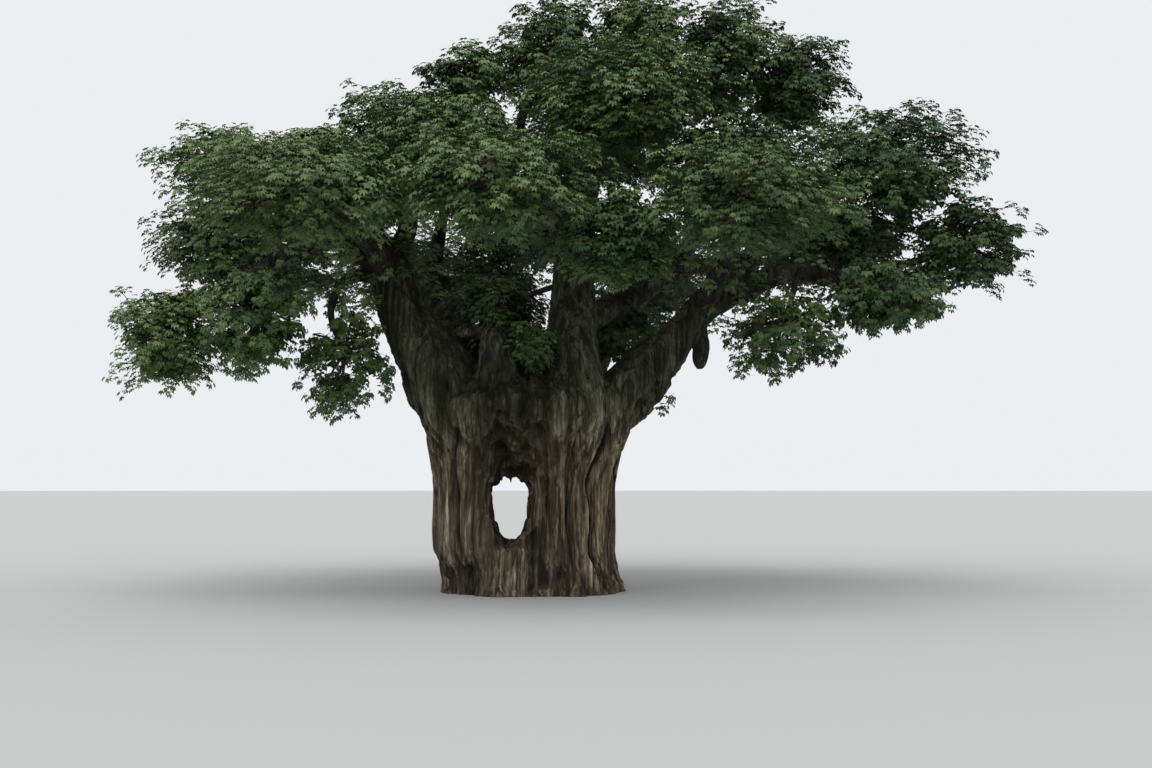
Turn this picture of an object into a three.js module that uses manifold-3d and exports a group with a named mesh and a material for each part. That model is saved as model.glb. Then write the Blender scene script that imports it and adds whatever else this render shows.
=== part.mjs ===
// A great baobab with a hole worn right through its trunk, at its real size in millimetres.
// +Z is up, the ground is the plane z = 0, and the origin is the middle of the flat cut there.
// The tree's photographed side faces -Y. It is a trunk, tapering boughs and limbs, and masses of
// foliage: each mass is one solid of a stem, twigs, leaf sprays and, where it is dense, a core.
import * as THREE from "three";
import { mergeVertices } from "three/addons/utils/BufferGeometryUtils.js";
import Module from "manifold-3d";

const wasm = await Module();
wasm.setup();

const METRE = 1000;
const CLEAR = 0.3; // the gap left between two pieces that touch
const LEAF_CLEAR = 24; // the least gap between a leaf or twig and another piece
const START_CLEAR = 0.02; // in metres: the gap between the stems and cores of two masses
const STEM_SUNK = 20; // how far a stem reaches into its limb's tip before it is cut there
const ROOT_RINGS = 3;
const LIMB_TAPER = { ease: 1.15, swell: 0.35, swellLength: 0.09 }; // a limb swells at its foot
const STEM = { rings: 2, fit: 0.94, end: 0.8, bendFromTip: 0.35, bendFromSide: 0.15 };
const GOLDEN_ANGLE = Math.PI * (3 - Math.sqrt(5));

// The trunk, in metres: half widths along X and Y at its waist, and how they grow to foot and fork.
const TRUNK = {
  top: 5.25,
  waistX: 2.26,
  waistY: 1.98,
  waistHeight: 2.3,
  middleX: -0.07,
  leanX: 0.16,
  footShare: 0.92, // its width just above the ground, as a share of the waist's
  footShift: 0.26, // how far the foot stands towards +X
  footHeight: 1.1,
  flare: 0.16,
  flareHeight: 0.22,
  spreadX: 0.98,
  spreadY: 0.72,
  fullTop: 5.4, // it rounds off from shoulderFrom to here
  shoulderFrom: 4.25,
  shoulder: 0.93,
  sides: 36,
  rings: 11,
  plain: 0.95, // its radius between the folds, as a share
  foldDrift: 4, // how far in degrees a fold strays from the way it faces, and how fast, a metre
  foldStray: 1.1,
  foldsFade: 0.45, // how much weaker the folds are at the fork, and stronger at the foot
  foldsGrow: 0.6,
  foldsFadeFrom: 3.9,
  leanFrom: 2.5,
};

// The folds that stand out of the trunk: the way each faces, in degrees from +X, how far it stands
// out as a share of the radius, and how wide it is in degrees.
const FOLDS = [
  { faces: -152, out: 0.05, wide: 13 },
  { faces: -131, out: 0.06, wide: 9 },
  { faces: -116, out: 0.07, wide: 8 },
  { faces: -62, out: 0.1, wide: 9 },
  { faces: -33, out: 0.08, wide: 10 },
  { faces: -6, out: 0.04, wide: 12 },
  { faces: 24, out: 0.08, wide: 13 },
  { faces: 57, out: 0.06, wide: 10 },
  { faces: 84, out: 0.08, wide: 12 },
  { faces: 121, out: 0.07, wide: 14 },
  { faces: 150, out: 0.05, wide: 9 },
  { faces: 178, out: 0.05, wide: 12 },
];

// The hole through the trunk, in metres, as sections along Y from front to back: its middle, its
// half width and half height. It is a funnel in front, a narrow throat, and a smaller funnel behind.
const HOLE = [
  { y: -3.2, x: -0.3, z: 3.1, halfWide: 1.42, halfHigh: 2.15 },
  { y: -2.3, x: -0.32, z: 2.85, halfWide: 1.08, halfHigh: 1.75 },
  { y: -1.5, x: -0.38, z: 2.35, halfWide: 0.66, halfHigh: 1.2 },
  { y: -0.8, x: -0.4, z: 2.04, halfWide: 0.47, halfHigh: 0.84 },
  { y: 0.5, x: -0.4, z: 2.04, halfWide: 0.5, halfHigh: 0.86 },
  { y: 1.4, x: -0.42, z: 2.2, halfWide: 0.68, halfHigh: 1.06 },
  { y: 3.0, x: -0.45, z: 2.6, halfWide: 1.15, halfHigh: 1.6 },
];
const HOLE_SHAPE = {
  sides: 18,
  narrowing: 0.38, // how much narrower the hole is at its foot than at its middle
  squareness: 0.58, // how square the top of its throat is, and its foot, and how far along Y
  footSquareness: 0.3,
  squareReach: 1.4,
  points: 5, // how many points its ragged edge has, how far they stand out, and how they wind
  ragged: 0.07,
  winding: 1.3,
};

// The limbs, in metres. Each runs through its points from inside what carries it, and tapers from
// foot to tip, the sooner the greater its ease. A limb with a root is fused to the trunk up to that
// share of its length, where its own solid starts. The others start at the skin of what they grow
// from.
const LIMBS = {
  bough_left: {
    points: [[-1.4, -0.45, 3.9], [-2.25, -0.5, 5.5], [-3.12, -0.5, 6.95], [-3.42, -0.5, 8.15]],
    foot: 1.22, tip: 0.43, root: 0.46, sides: 11, rings: 5,
  },
  bough_centre: {
    points: [[0.8, -0.45, 4.0], [1.1, -0.45, 5.9], [1.15, -0.3, 7.5], [1.15, -0.1, 8.9]],
    foot: 1.0, tip: 0.44, ease: 1.8, root: 0.4, sides: 11, rings: 5,
  },
  bough_right: {
    points: [
      [1.5, -0.45, 3.9], [2.75, -0.5, 5.15], [3.5, -0.5, 5.95], [4.35, -0.45, 7.0], [5.45, -0.45, 7.6],
    ],
    foot: 1.05, tip: 0.3, ease: 2, root: 0.36, sides: 11, rings: 7,
  },
  bough_back_left: {
    points: [[-0.9, 0.9, 3.9], [-1.45, 1.75, 5.6], [-2.25, 3.0, 7.2], [-2.8, 4.2, 8.5]],
    foot: 0.95, tip: 0.4, root: 0.4, sides: 11, rings: 5,
  },
  bough_back_right: {
    points: [[0.8, 1.0, 3.9], [1.25, 1.9, 5.6], [2.15, 3.3, 7.1], [3.3, 4.6, 8.3]],
    foot: 0.95, tip: 0.4, root: 0.4, sides: 11, rings: 5,
  },
  broken_stub: {
    points: [[-0.62, -1.15, 4.2], [-0.68, -1.1, 5.5], [-0.69, -1.05, 6.62]],
    foot: 0.66, tip: 0.36, root: 0.54, sides: 8, rings: 3,
  },
  hanging_knob: {
    points: [[4.15, -0.45, 6.75], [4.28, -0.6, 6.1], [4.26, -0.64, 5.48]],
    foot: 0.28, tip: 0.2, ease: 2, sides: 8, rings: 4,
  },
  limb_left_low: {
    points: [[-3.35, -0.5, 7.8], [-4.6, -0.6, 8.6], [-5.8, -0.8, 8.35], [-6.9, -1.0, 7.55]],
    foot: 0.34, tip: 0.13, sides: 7, rings: 5,
  },
  limb_left_high: {
    points: [[-3.4, -0.45, 8.1], [-4.1, -0.3, 9.3], [-5.0, -0.25, 10.0], [-5.7, -0.2, 10.3]],
    foot: 0.32, tip: 0.15, sides: 7, rings: 4,
  },
  limb_left_up: {
    points: [[-3.38, -0.45, 8.0], [-3.0, 0.0, 9.2], [-3.1, 0.1, 10.4]],
    foot: 0.32, tip: 0.16, sides: 7, rings: 4,
  },
  limb_left_front: {
    points: [[-3.3, -0.5, 7.8], [-3.9, -2.2, 8.5], [-4.4, -3.7, 8.9]],
    foot: 0.32, tip: 0.16, sides: 7, rings: 4,
  },
  limb_left_hang: {
    points: [[-3.1, -0.45, 7.1], [-3.95, -0.7, 7.75], [-4.6, -0.85, 7.5], [-4.8, -0.9, 6.9]],
    foot: 0.22, tip: 0.1, sides: 6, rings: 5,
  },
  limb_centre_up: {
    points: [[1.15, -0.1, 8.6], [1.5, 0.0, 10.1], [2.0, 0.1, 11.2], [2.45, 0.2, 12.2]],
    foot: 0.42, tip: 0.17, sides: 7, rings: 4,
  },
  limb_centre_left: {
    points: [[1.13, 0.0, 8.3], [0.5, 0.3, 9.9], [-0.1, 0.4, 11.2], [-0.2, 0.4, 11.8]],
    foot: 0.34, tip: 0.15, sides: 7, rings: 4,
  },
  limb_centre_right: {
    points: [[1.15, -0.3, 6.7], [2.5, 0.4, 7.25], [3.9, 1.2, 8.5], [4.9, 1.2, 9.9], [5.1, 1.0, 11.5]],
    foot: 0.33, tip: 0.14, sides: 7, rings: 7,
  },
  limb_centre_front: {
    points: [[1.13, 0.0, 8.0], [0.95, -2.0, 8.9], [0.6, -4.0, 8.9]],
    foot: 0.36, tip: 0.16, sides: 7, rings: 4,
  },
  limb_right_out: {
    points: [[5.2, -0.45, 7.42], [6.7, -0.5, 7.95], [7.8, -0.4, 7.75], [9.4, -0.3, 8.15]],
    foot: 0.3, tip: 0.12, sides: 6, rings: 5,
  },
  limb_right_up: {
    points: [[5.0, -0.45, 7.35], [5.9, -0.4, 8.7], [7.0, -0.4, 9.6]],
    foot: 0.3, tip: 0.15, sides: 6, rings: 4,
  },
  limb_right_front: {
    points: [[4.3, -0.4, 6.95], [4.7, -2.2, 7.9], [4.6, -3.6, 8.2]],
    foot: 0.32, tip: 0.15, sides: 7, rings: 4,
  },
  limb_back_left_out: {
    points: [[-2.7, 4.0, 8.2], [-4.2, 4.5, 8.9], [-5.3, 4.7, 9.1]],
    foot: 0.28, tip: 0.13, sides: 6, rings: 4,
  },
  limb_back_left_up: {
    points: [[-2.75, 4.1, 8.4], [-2.5, 4.2, 9.6], [-2.3, 4.2, 10.6]],
    foot: 0.28, tip: 0.14, sides: 6, rings: 3,
  },
  limb_back_right_out: {
    points: [[3.2, 4.4, 8.1], [4.9, 4.7, 8.9], [6.2, 4.8, 9.2]],
    foot: 0.28, tip: 0.13, sides: 6, rings: 4,
  },
  limb_back_right_up: {
    points: [[3.25, 4.5, 8.2], [2.9, 4.5, 9.7], [2.4, 4.6, 11.0]],
    foot: 0.28, tip: 0.14, sides: 6, rings: 4,
  },
};

// The masses of foliage, in metres: the limb each grows from, and the middle and half sizes of the
// space it keeps to. A mass with rootAt springs from its limb's side at that share of the limb's
// length, and the others from the limb's tip. An airy mass has twigs and no core, and a mass with a
// core of its own has that share of its half sizes filled.
const MASSES = {
  foliage_left_tip: {
    from: "limb_left_low",
    middle: [-8.8, -0.9, 6.15], half: [1.75, 1.6, 1.6],
  },
  foliage_left_low: {
    from: "limb_left_low", rootAt: 0.86,
    middle: [-6.5, -1.9, 6.75], half: [1.5, 1.5, 1.6], core: 0.5,
  },
  foliage_left_plateau: {
    from: "limb_left_high",
    middle: [-7.3, -0.2, 10.5], half: [2.1, 2.1, 1.1],
  },
  foliage_left_side: {
    from: "limb_left_high", rootAt: 0.8,
    middle: [-7.75, 0.3, 8.65], half: [1.95, 1.9, 1.4], core: 0.5,
  },
  foliage_left_shoulder: {
    from: "limb_left_up",
    middle: [-3.15, 0.1, 11.5], half: [2.15, 2.3, 1.35],
  },
  foliage_left_top: {
    from: "limb_left_high", rootAt: 0.9,
    middle: [-5.3, 1, 11], half: [1.4, 1.8, 1],
  },
  foliage_left_front: {
    from: "limb_left_front",
    middle: [-4.9, -5.5, 8.8], half: [2.6, 2.4, 1.5],
  },
  foliage_left_hanging: {
    from: "limb_left_hang",
    middle: [-4.4, -0.95, 5.85], half: [1.45, 1.25, 1.75], airy: true,
  },
  foliage_left_heart: {
    from: "limb_left_front", rootAt: 0.6,
    middle: [-4.2, -2.3, 9.5], half: [2, 1.7, 1.4],
  },
  foliage_top_tuft: {
    from: "limb_centre_left", rootAt: 0.7,
    middle: [-1.4, -0.4, 12.8], half: [1.3, 1.3, 0.9], airy: true,
  },
  foliage_top_left: {
    from: "limb_centre_left",
    middle: [0.75, 0.4, 13.4], half: [1.9, 2.6, 1.85],
  },
  foliage_top: {
    from: "limb_centre_up",
    middle: [2.8, 0.4, 13.8], half: [2.1, 2.9, 1.7],
  },
  foliage_top_right: {
    from: "limb_centre_right",
    middle: [4.95, 0.6, 13.5], half: [1.95, 2.7, 1.85],
  },
  foliage_right_upper: {
    from: "limb_centre_right", rootAt: 0.9,
    middle: [6.9, 0.8, 13.05], half: [1.55, 2.1, 1.5],
  },
  foliage_top_front: {
    from: "limb_centre_up", rootAt: 0.6,
    middle: [2.2, -3.1, 11.5], half: [2.6, 2.4, 1.6],
  },
  foliage_front: {
    from: "limb_centre_front",
    middle: [-0.6, -6.1, 8.85], half: [2.6, 2.3, 1.5],
  },
  foliage_front_left: {
    from: "limb_centre_front", rootAt: 0.75,
    middle: [-1.7, -3.2, 10.25], half: [2.2, 1.9, 1.7],
  },
  foliage_front_right: {
    from: "limb_centre_front", rootAt: 0.9,
    middle: [2, -4.6, 8], half: [1.7, 1.6, 1.25],
  },
  foliage_right_front: {
    from: "limb_right_front",
    middle: [4.7, -5.9, 8.6], half: [2.6, 2.3, 1.5],
  },
  foliage_right_heart: {
    from: "limb_right_front", rootAt: 0.7,
    middle: [4.8, -2.7, 10], half: [2.3, 1.8, 1.6],
  },
  foliage_right_dome: {
    from: "limb_right_up",
    middle: [8.95, -0.7, 10.5], half: [2.65, 2.4, 1.95],
  },
  foliage_right_tip: {
    from: "limb_right_out",
    middle: [11.05, -0.3, 8.6], half: [2, 1.8, 1.45],
  },
  foliage_right_middle: {
    from: "limb_right_out", rootAt: 0.55,
    middle: [8.45, 0.1, 8.95], half: [2, 1.6, 1.3],
  },
  foliage_right_low: {
    from: "limb_right_out", rootAt: 0.85,
    middle: [8.75, -1.4, 7.4], half: [1.65, 1.6, 1.05], core: 0.5,
  },
  foliage_right_hanging: {
    from: "limb_right_out", rootAt: 0.35,
    middle: [6.3, -0.9, 6.55], half: [1.85, 1.6, 1.3], airy: true,
  },
  foliage_inner_hanging: {
    from: "limb_centre_right", rootAt: 0.28,
    middle: [2.5, 1.5, 6.75], half: [1.2, 1.05, 0.95], airy: true,
  },
  foliage_fork: {
    from: "bough_centre", rootAt: 0.45,
    middle: [0.07, -1.5, 5.9], half: [0.6, 0.55, 0.75], airy: true,
  },
  foliage_heart: {
    from: "bough_centre", rootAt: 0.72,
    middle: [-0.8, 1.1, 7.15], half: [1.35, 1.1, 1.05], core: 0.5,
  },
  foliage_back_left: {
    from: "limb_back_left_out",
    middle: [-6.9, 4.9, 9], half: [2.5, 2.6, 1.6],
  },
  foliage_back_left_up: {
    from: "limb_back_left_up",
    middle: [-2.6, 4, 11.6], half: [2.5, 2.6, 1.7],
  },
  foliage_back_left_end: {
    from: "bough_back_left",
    middle: [-3.2, 7.6, 8.9], half: [2.6, 2.2, 1.5],
  },
  foliage_back_right: {
    from: "limb_back_right_out",
    middle: [7.9, 4.6, 9.4], half: [2.6, 2.7, 1.7],
  },
  foliage_back_right_up: {
    from: "limb_back_right_up",
    middle: [2.3, 4.6, 12.3], half: [2.8, 2.5, 1.7],
  },
  foliage_back_right_end: {
    from: "bough_back_right",
    middle: [3.7, 7.9, 8.8], half: [2.6, 2.2, 1.5],
  },
  foliage_back_heart: {
    from: "bough_back_left", rootAt: 0.75,
    middle: [-0.9, 4, 8.8], half: [1.7, 1.5, 1.35], airy: true,
  },
  foliage_back_middle: {
    from: "bough_back_right", rootAt: 0.9,
    middle: [0.3, 7.2, 10.3], half: [2, 2, 1.3],
  },
};

// How a mass grows, in metres and as shares of its half sizes.
const GROWTH = {
  stemRadius: 0.1,
  stemSides: 5,
  core: 0.66,
  coreRoughness: 0.2,
  sprays: 10,
  twigs: 6,
  twigRadius: 0.075,
  twigReach: 0.6,
  leafLength: 1.25,
  leafWidth: 0.9,
  leafThick: 0.08,
  leafBroadest: 0.1, // how far past its middle a spray is broadest
  leafSunk: 0.2, // how far a spray's root is sunk in a core, and the share of that in a twig
  leafSunkInTwig: 0.4,
  secondLeafAt: 0.72, // where a twig's second spray starts, as a share of the twig
  rimOfCore: 0.93, // where a spray starts on a core, as a share of the core's reach
  leafSizes: [1.75, 1.55, 1.35, 1.2, 1.05, 0.9, 0.75, 0.6],
  leanLeast: 0.35, // in radians: how far a spray leans from the way its twig points
  leanMost: 1.15,
  droop: 0.25,
  reach: 1.12,
};

const MATERIALS = {
  bark: new THREE.MeshStandardMaterial({ color: 0x6b6355, roughness: 0.92, metalness: 0 }),
  limb: new THREE.MeshStandardMaterial({ color: 0x4b463c, roughness: 0.92, metalness: 0 }),
  leaves: new THREE.MeshStandardMaterial({ color: 0x3a4a2c, roughness: 0.7, metalness: 0 }),
};

const point = ([x, y, z]) => new THREE.Vector3(x, y, z).multiplyScalar(METRE);
const wave = (value, low, high) => THREE.MathUtils.smoothstep(value, low, high);

// A number from 0 to 1 that is always the same for the same whole number.
function chance(n) {
  const s = Math.sin(n * 127.1 + 311.7) * 43758.5453;
  return s - Math.floor(s);
}

// A closed three.js geometry as a solid.
function solidOf(geometry) {
  const bare = geometry.clone();
  bare.deleteAttribute("normal");
  bare.deleteAttribute("uv");
  const merged = mergeVertices(bare, 1e-3);
  const solid = new wasm.Manifold(
    new wasm.Mesh({
      numProp: 3,
      vertProperties: new Float32Array(merged.attributes.position.array),
      triVerts: new Uint32Array(merged.index.array),
    }),
  );
  if (solid.volume() <= 0) throw new Error("a shape is inside out");
  return solid;
}

// Moves each vertex of a geometry to where shape(vertex) says.
function reshape(geometry, shape) {
  const position = geometry.attributes.position;
  const vertex = new THREE.Vector3();
  for (let i = 0; i < position.count; i++) {
    vertex.fromBufferAttribute(position, i);
    const moved = shape(vertex.clone());
    position.setXYZ(i, moved.x, moved.y, moved.z);
  }
  return geometry;
}

// How far the trunk's skin is from its middle line, in metres, facing an angle at a height.
function trunkRadius(angle, z) {
  const rise = Math.max(0, (z - TRUNK.waistHeight) / (TRUNK.top - TRUNK.waistHeight));
  const foot = TRUNK.flare * Math.exp(-z / TRUNK.flareHeight);
  const drawnIn = THREE.MathUtils.lerp(TRUNK.footShare, 1, wave(z, 0, TRUNK.footHeight));
  const halfX = TRUNK.waistX * drawnIn + foot + TRUNK.spreadX * rise * rise;
  const halfY = TRUNK.waistY * drawnIn + foot + TRUNK.spreadY * rise * rise;
  const round = 1 / Math.hypot(Math.cos(angle) / halfX, Math.sin(angle) / halfY);
  let folds = 0;
  for (const fold of FOLDS) {
    const drift = TRUNK.foldDrift * Math.sin(fold.faces + z * TRUNK.foldStray);
    const turn = THREE.MathUtils.radToDeg(angle) - fold.faces - drift;
    const away = ((((turn + 180) % 360) + 360) % 360) - 180;
    folds += fold.out * Math.exp(-((away / fold.wide) ** 2));
  }
  const fade = TRUNK.foldsFade * wave(z, TRUNK.foldsFadeFrom, TRUNK.top);
  const strength = 1 - fade + TRUNK.foldsGrow * Math.exp(-z / TRUNK.flareHeight);
  const above = Math.max(0, (z - TRUNK.shoulderFrom) / (TRUNK.fullTop - TRUNK.shoulderFrom));
  const rim = Math.sqrt(1 - TRUNK.shoulder * above * above);
  return round * (TRUNK.plain + folds * strength) * rim;
}

// The trunk without its hole: rings round its middle line.
function trunkBody() {
  const geometry = new THREE.CylinderGeometry(1, 1, 1, TRUNK.sides, TRUNK.rings);
  reshape(geometry, (v) => {
    const z = (v.y + 0.5) * TRUNK.fullTop;
    const share = Math.hypot(v.x, v.z);
    const angle = Math.atan2(-v.z, v.x);
    const radius = trunkRadius(angle, z) * share;
    const shift = TRUNK.footShift * (1 - wave(z, 0, TRUNK.footHeight));
    const lean = TRUNK.leanX * wave(z, TRUNK.leanFrom, TRUNK.top);
    const x = TRUNK.middleX + shift + lean + radius * Math.cos(angle);
    return point([x, radius * Math.sin(angle), z]);
  });
  return solidOf(geometry);
}

// A power of a number that keeps its sign.
const signedPower = (value, power) => Math.sign(value) * Math.abs(value) ** power;

// The space of the hole: its sections joined along Y, each narrower at its foot than at its middle,
// and square at its top and foot.
function holeSpace() {
  const shape = HOLE_SHAPE;
  const geometry = new THREE.CylinderGeometry(1, 1, 1, shape.sides, HOLE.length - 1);
  reshape(geometry, (v) => {
    const at = HOLE[Math.round((v.y + 0.5) * (HOLE.length - 1))];
    const share = Math.hypot(v.x, v.z);
    const turn = Math.atan2(v.z, v.x);
    const narrow = 1 - shape.narrowing * Math.max(0, -Math.sin(turn));
    const ragged = 1 + shape.ragged * Math.sin(shape.points * turn + shape.winding * at.y);
    const square = Math.sin(turn) > 0 ? shape.squareness : shape.footSquareness;
    const power = 1 - square * Math.exp(-((at.y / shape.squareReach) ** 2));
    const x = at.x + at.halfWide * narrow * ragged * share * signedPower(Math.cos(turn), power);
    const z = at.z + at.halfHigh * ragged * share * signedPower(Math.sin(turn), power);
    return point([x, at.y, z]);
  });
  return solidOf(geometry);
}

// The line a limb follows, its radius at a share t of its length, and the directions across it. The
// clearance is what its flat faces are grown by.
function limbShape(limb, clearance = 0) {
  const grown = clearance / Math.cos(Math.PI / limb.sides);
  const line = new THREE.CatmullRomCurve3(limb.points.map(point), false, "centripetal");
  const chord = line.getPoint(1).sub(line.getPoint(0)).normalize();
  const aside = Math.abs(chord.y) < 0.7 ? new THREE.Vector3(0, 1, 0) : new THREE.Vector3(1, 0, 0);
  const radiusAt = (t) => {
    const swell = limb.root ? 0 : LIMB_TAPER.swell * limb.foot * Math.exp(-t / LIMB_TAPER.swellLength);
    const left = Math.max(0, 1 - t);
    const taper = (limb.foot - limb.tip) * left ** (limb.ease ?? LIMB_TAPER.ease);
    return (limb.tip + taper + swell) * METRE + grown;
  };
  const ringAt = (t) => {
    const along = line.getTangentAt(t);
    const across = new THREE.Vector3().crossVectors(aside, along).normalize();
    const over = new THREE.Vector3().crossVectors(across, along).normalize();
    return { middle: line.getPointAt(t), along, across, over };
  };
  return { line, radiusAt, ringAt };
}

// A tapering limb as a closed solid, from one share of its length to another. Clearance grows it
// all round and past both its ends.
function limbSolid(limb, from, to, { clearance = 0, rings = limb.rings } = {}) {
  const { radiusAt, ringAt } = limbShape(limb, clearance);
  const geometry = new THREE.CylinderGeometry(1, 1, 1, limb.sides, rings);
  reshape(geometry, (v) => {
    const t = from + (v.y + 0.5) * (to - from);
    const { middle, along, across, over } = ringAt(t);
    const radius = radiusAt(t);
    const shift = v.y < -0.49 ? -clearance : v.y > 0.49 ? clearance : 0;
    return middle
      .addScaledVector(across, v.x * radius)
      .addScaledVector(over, v.z * radius)
      .addScaledVector(along, shift);
  });
  return solidOf(geometry);
}

// The largest piece of a solid that a cut may have left in several.
function largest(solid) {
  const pieces = solid.decompose();
  return pieces.reduce((a, b) => (b.volume() > a.volume() ? b : a));
}

function boxesMeet(a, b, gap) {
  const p = a.boundingBox();
  const q = b.boundingBox();
  return [0, 1, 2].every((i) => p.min[i] - gap < q.max[i] && q.min[i] - gap < p.max[i]);
}

const group = new THREE.Group();
const finished = []; // every finished solid, which leaves and twigs keep clear of
const limbSpaces = []; // each limb grown by the clearance, which is cut from what meets it

function addNode(name, solid, material) {
  const mesh = solid.getMesh();
  const geometry = new THREE.BufferGeometry();
  geometry.setAttribute("position", new THREE.BufferAttribute(mesh.vertProperties, 3));
  geometry.setIndex(new THREE.BufferAttribute(mesh.triVerts, 1));
  geometry.computeVertexNormals();
  const node = new THREE.Mesh(geometry, material);
  node.name = name;
  group.add(node);
  finished.push(solid);
}

// A solid without what others take up of it.
function cutBy(solid, spaces) {
  const near = spaces.filter((space) => boxesMeet(solid, space, CLEAR));
  return largest(near.reduce((rest, space) => rest.subtract(space), solid));
}

// The trunk, with the roots of its boughs fused to it and the hole cut through.
function makeTrunk() {
  let trunk = trunkBody();
  for (const limb of Object.values(LIMBS)) {
    if (limb.root) trunk = trunk.add(limbSolid(limb, 0, limb.root, { rings: ROOT_RINGS }));
  }
  addNode("trunk", largest(trunk.subtract(holeSpace())), MATERIALS.bark);
}

// The boughs start where the trunk ends, and each limb is cut clear of those made before it.
function makeLimbs() {
  for (const limb of Object.values(LIMBS)) {
    const root = { clearance: CLEAR, rings: ROOT_RINGS };
    if (limb.root) limbSpaces.push(limbSolid(limb, 0, limb.root, root));
  }
  for (const [name, limb] of Object.entries(LIMBS)) {
    const whole = limbSolid(limb, limb.root ?? 0, 1);
    const material = limb.root ? MATERIALS.bark : MATERIALS.limb;
    addNode(name, cutBy(whole, limbSpaces), material);
    limbSpaces.push(limbSolid(limb, limb.root ?? 0, 1, { clearance: CLEAR }));
  }
}

// How far a point is from the middle of a mass's space, where 1 is its skin.
function depthIn(mass, p) {
  const [x, y, z] = mass.middle.map((c, i) => (p.getComponent(i) / METRE - c) / mass.half[i]);
  return Math.hypot(x, y, z);
}

// True if all the points lie in the mass's own space and nearer to it than to any other mass.
function keepsToItself(mass, points) {
  return points.every((p) => {
    const own = depthIn(mass, p);
    return own <= GROWTH.reach && Object.values(MASSES).every((m) => m === mass || depthIn(m, p) > own);
  });
}

// The direction of the k-th of n twigs, spread evenly over a ball.
function twigDirection(k, n, turn) {
  const z = 1 - (2 * k + 1) / n;
  const flat = Math.sqrt(1 - z * z);
  const angle = k * GOLDEN_ANGLE + turn;
  return new THREE.Vector3(flat * Math.cos(angle), flat * Math.sin(angle), z);
}

// A closed three-sided spike from one point to another.
function twigSolid(from, to, radius) {
  const along = to.clone().sub(from);
  const geometry = new THREE.ConeGeometry(radius, along.length(), 3, 1);
  geometry.translate(0, along.length() / 2, 0);
  geometry.applyQuaternion(
    new THREE.Quaternion().setFromUnitVectors(new THREE.Vector3(0, 1, 0), along.normalize()),
  );
  return solidOf(geometry.translate(from.x, from.y, from.z));
}

// A leaf spray of eight faces: a kite that is broadest past its middle, turned about its own line.
function leafShape(root, along, size, roll) {
  const aside = Math.abs(along.z) < 0.9 ? new THREE.Vector3(0, 0, 1) : new THREE.Vector3(1, 0, 0);
  const across = new THREE.Vector3().crossVectors(along, aside).normalize().applyAxisAngle(along, roll);
  const over = new THREE.Vector3().crossVectors(across, along).normalize();
  const geometry = new THREE.OctahedronGeometry(1, 0);
  return reshape(geometry, (v) => {
    const length = (v.x + 1) / 2 + GROWTH.leafBroadest * (1 - Math.abs(v.x));
    return root
      .clone()
      .addScaledVector(along, length * GROWTH.leafLength * size * METRE)
      .addScaledVector(across, (v.z * GROWTH.leafWidth * size * METRE) / 2)
      .addScaledVector(over, (v.y * GROWTH.leafThick * size * METRE) / 2);
  });
}

// The corners of a shape as points.
function corners(geometry) {
  const position = geometry.attributes.position;
  const count = { length: position.count };
  return Array.from(count, (_, i) => new THREE.Vector3().fromBufferAttribute(position, i));
}

// Where a mass's stem starts and which way it leaves.
function stemRoot(mass) {
  const { ringAt } = limbShape(LIMBS[mass.from]);
  const { middle, along } = ringAt(mass.rootAt ?? 1);
  if (!mass.rootAt) middle.addScaledVector(along, -STEM_SUNK); // the cut at the limb's tip trims it
  return { root: middle, direction: along };
}

// The stem: a tapering tube that leaves its limb the way the limb runs and bends to the middle.
function stemSolid(mass, grown = 0) {
  const { root, direction } = stemRoot(mass);
  const hub = point(mass.middle);
  const bend = hub.distanceTo(root) * (mass.rootAt ? STEM.bendFromSide : STEM.bendFromTip);
  const line = new THREE.QuadraticBezierCurve3(root, root.clone().addScaledVector(direction, bend), hub);
  const foot = mass.rootAt ? GROWTH.stemRadius : LIMBS[mass.from].tip * STEM.fit;
  const firstWay = mass.rootAt ? line.getTangent(0) : direction;
  const geometry = new THREE.CylinderGeometry(1, 1, 1, GROWTH.stemSides, STEM.rings);
  reshape(geometry, (v) => {
    const t = v.y + 0.5;
    const along = t === 0 ? firstWay : line.getTangent(t);
    const aside = Math.abs(along.y) < 0.8 ? new THREE.Vector3(0, 1, 0) : new THREE.Vector3(1, 0, 0);
    const across = new THREE.Vector3().crossVectors(aside, along).normalize();
    const over = new THREE.Vector3().crossVectors(across, along).normalize();
    const radius = (THREE.MathUtils.lerp(foot, GROWTH.stemRadius * STEM.end, t) + grown) * METRE;
    return line.getPoint(t).addScaledVector(across, v.x * radius).addScaledVector(over, v.z * radius);
  });
  return solidOf(geometry);
}

// How far a dense mass's core reaches in a direction, as a share of the mass's half sizes.
function coreReach(way, seed, core = GROWTH.core) {
  const lump = Math.sin(3 * way.x + seed) * Math.sin(3 * way.y + 2 * seed) * Math.cos(3 * way.z + seed);
  return core * (1 + GROWTH.coreRoughness * lump);
}

// The core of a dense mass: a lumpy ball that its leaves stand out of.
function coreSolid(mass, seed, grown = 0) {
  const geometry = reshape(new THREE.IcosahedronGeometry(1, 1), (v) => {
    const share = coreReach(v, seed, mass.core) + grown;
    return point(mass.middle.map((c, i) => c + mass.half[i] * v.getComponent(i) * share));
  });
  return solidOf(geometry);
}

// What a mass starts from, its stem and its core, or that grown a little.
function massStart(mass, seed, grown = 0) {
  const stem = stemSolid(mass, grown);
  return mass.airy ? stem : stem.add(coreSolid(mass, seed, grown));
}

// True if a solid keeps at least a gap away from all of the others.
function isClear(solid, others, gap) {
  return others.every((other) => !boxesMeet(solid, other, gap) || solid.minGap(other, gap * 2) >= gap);
}

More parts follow.
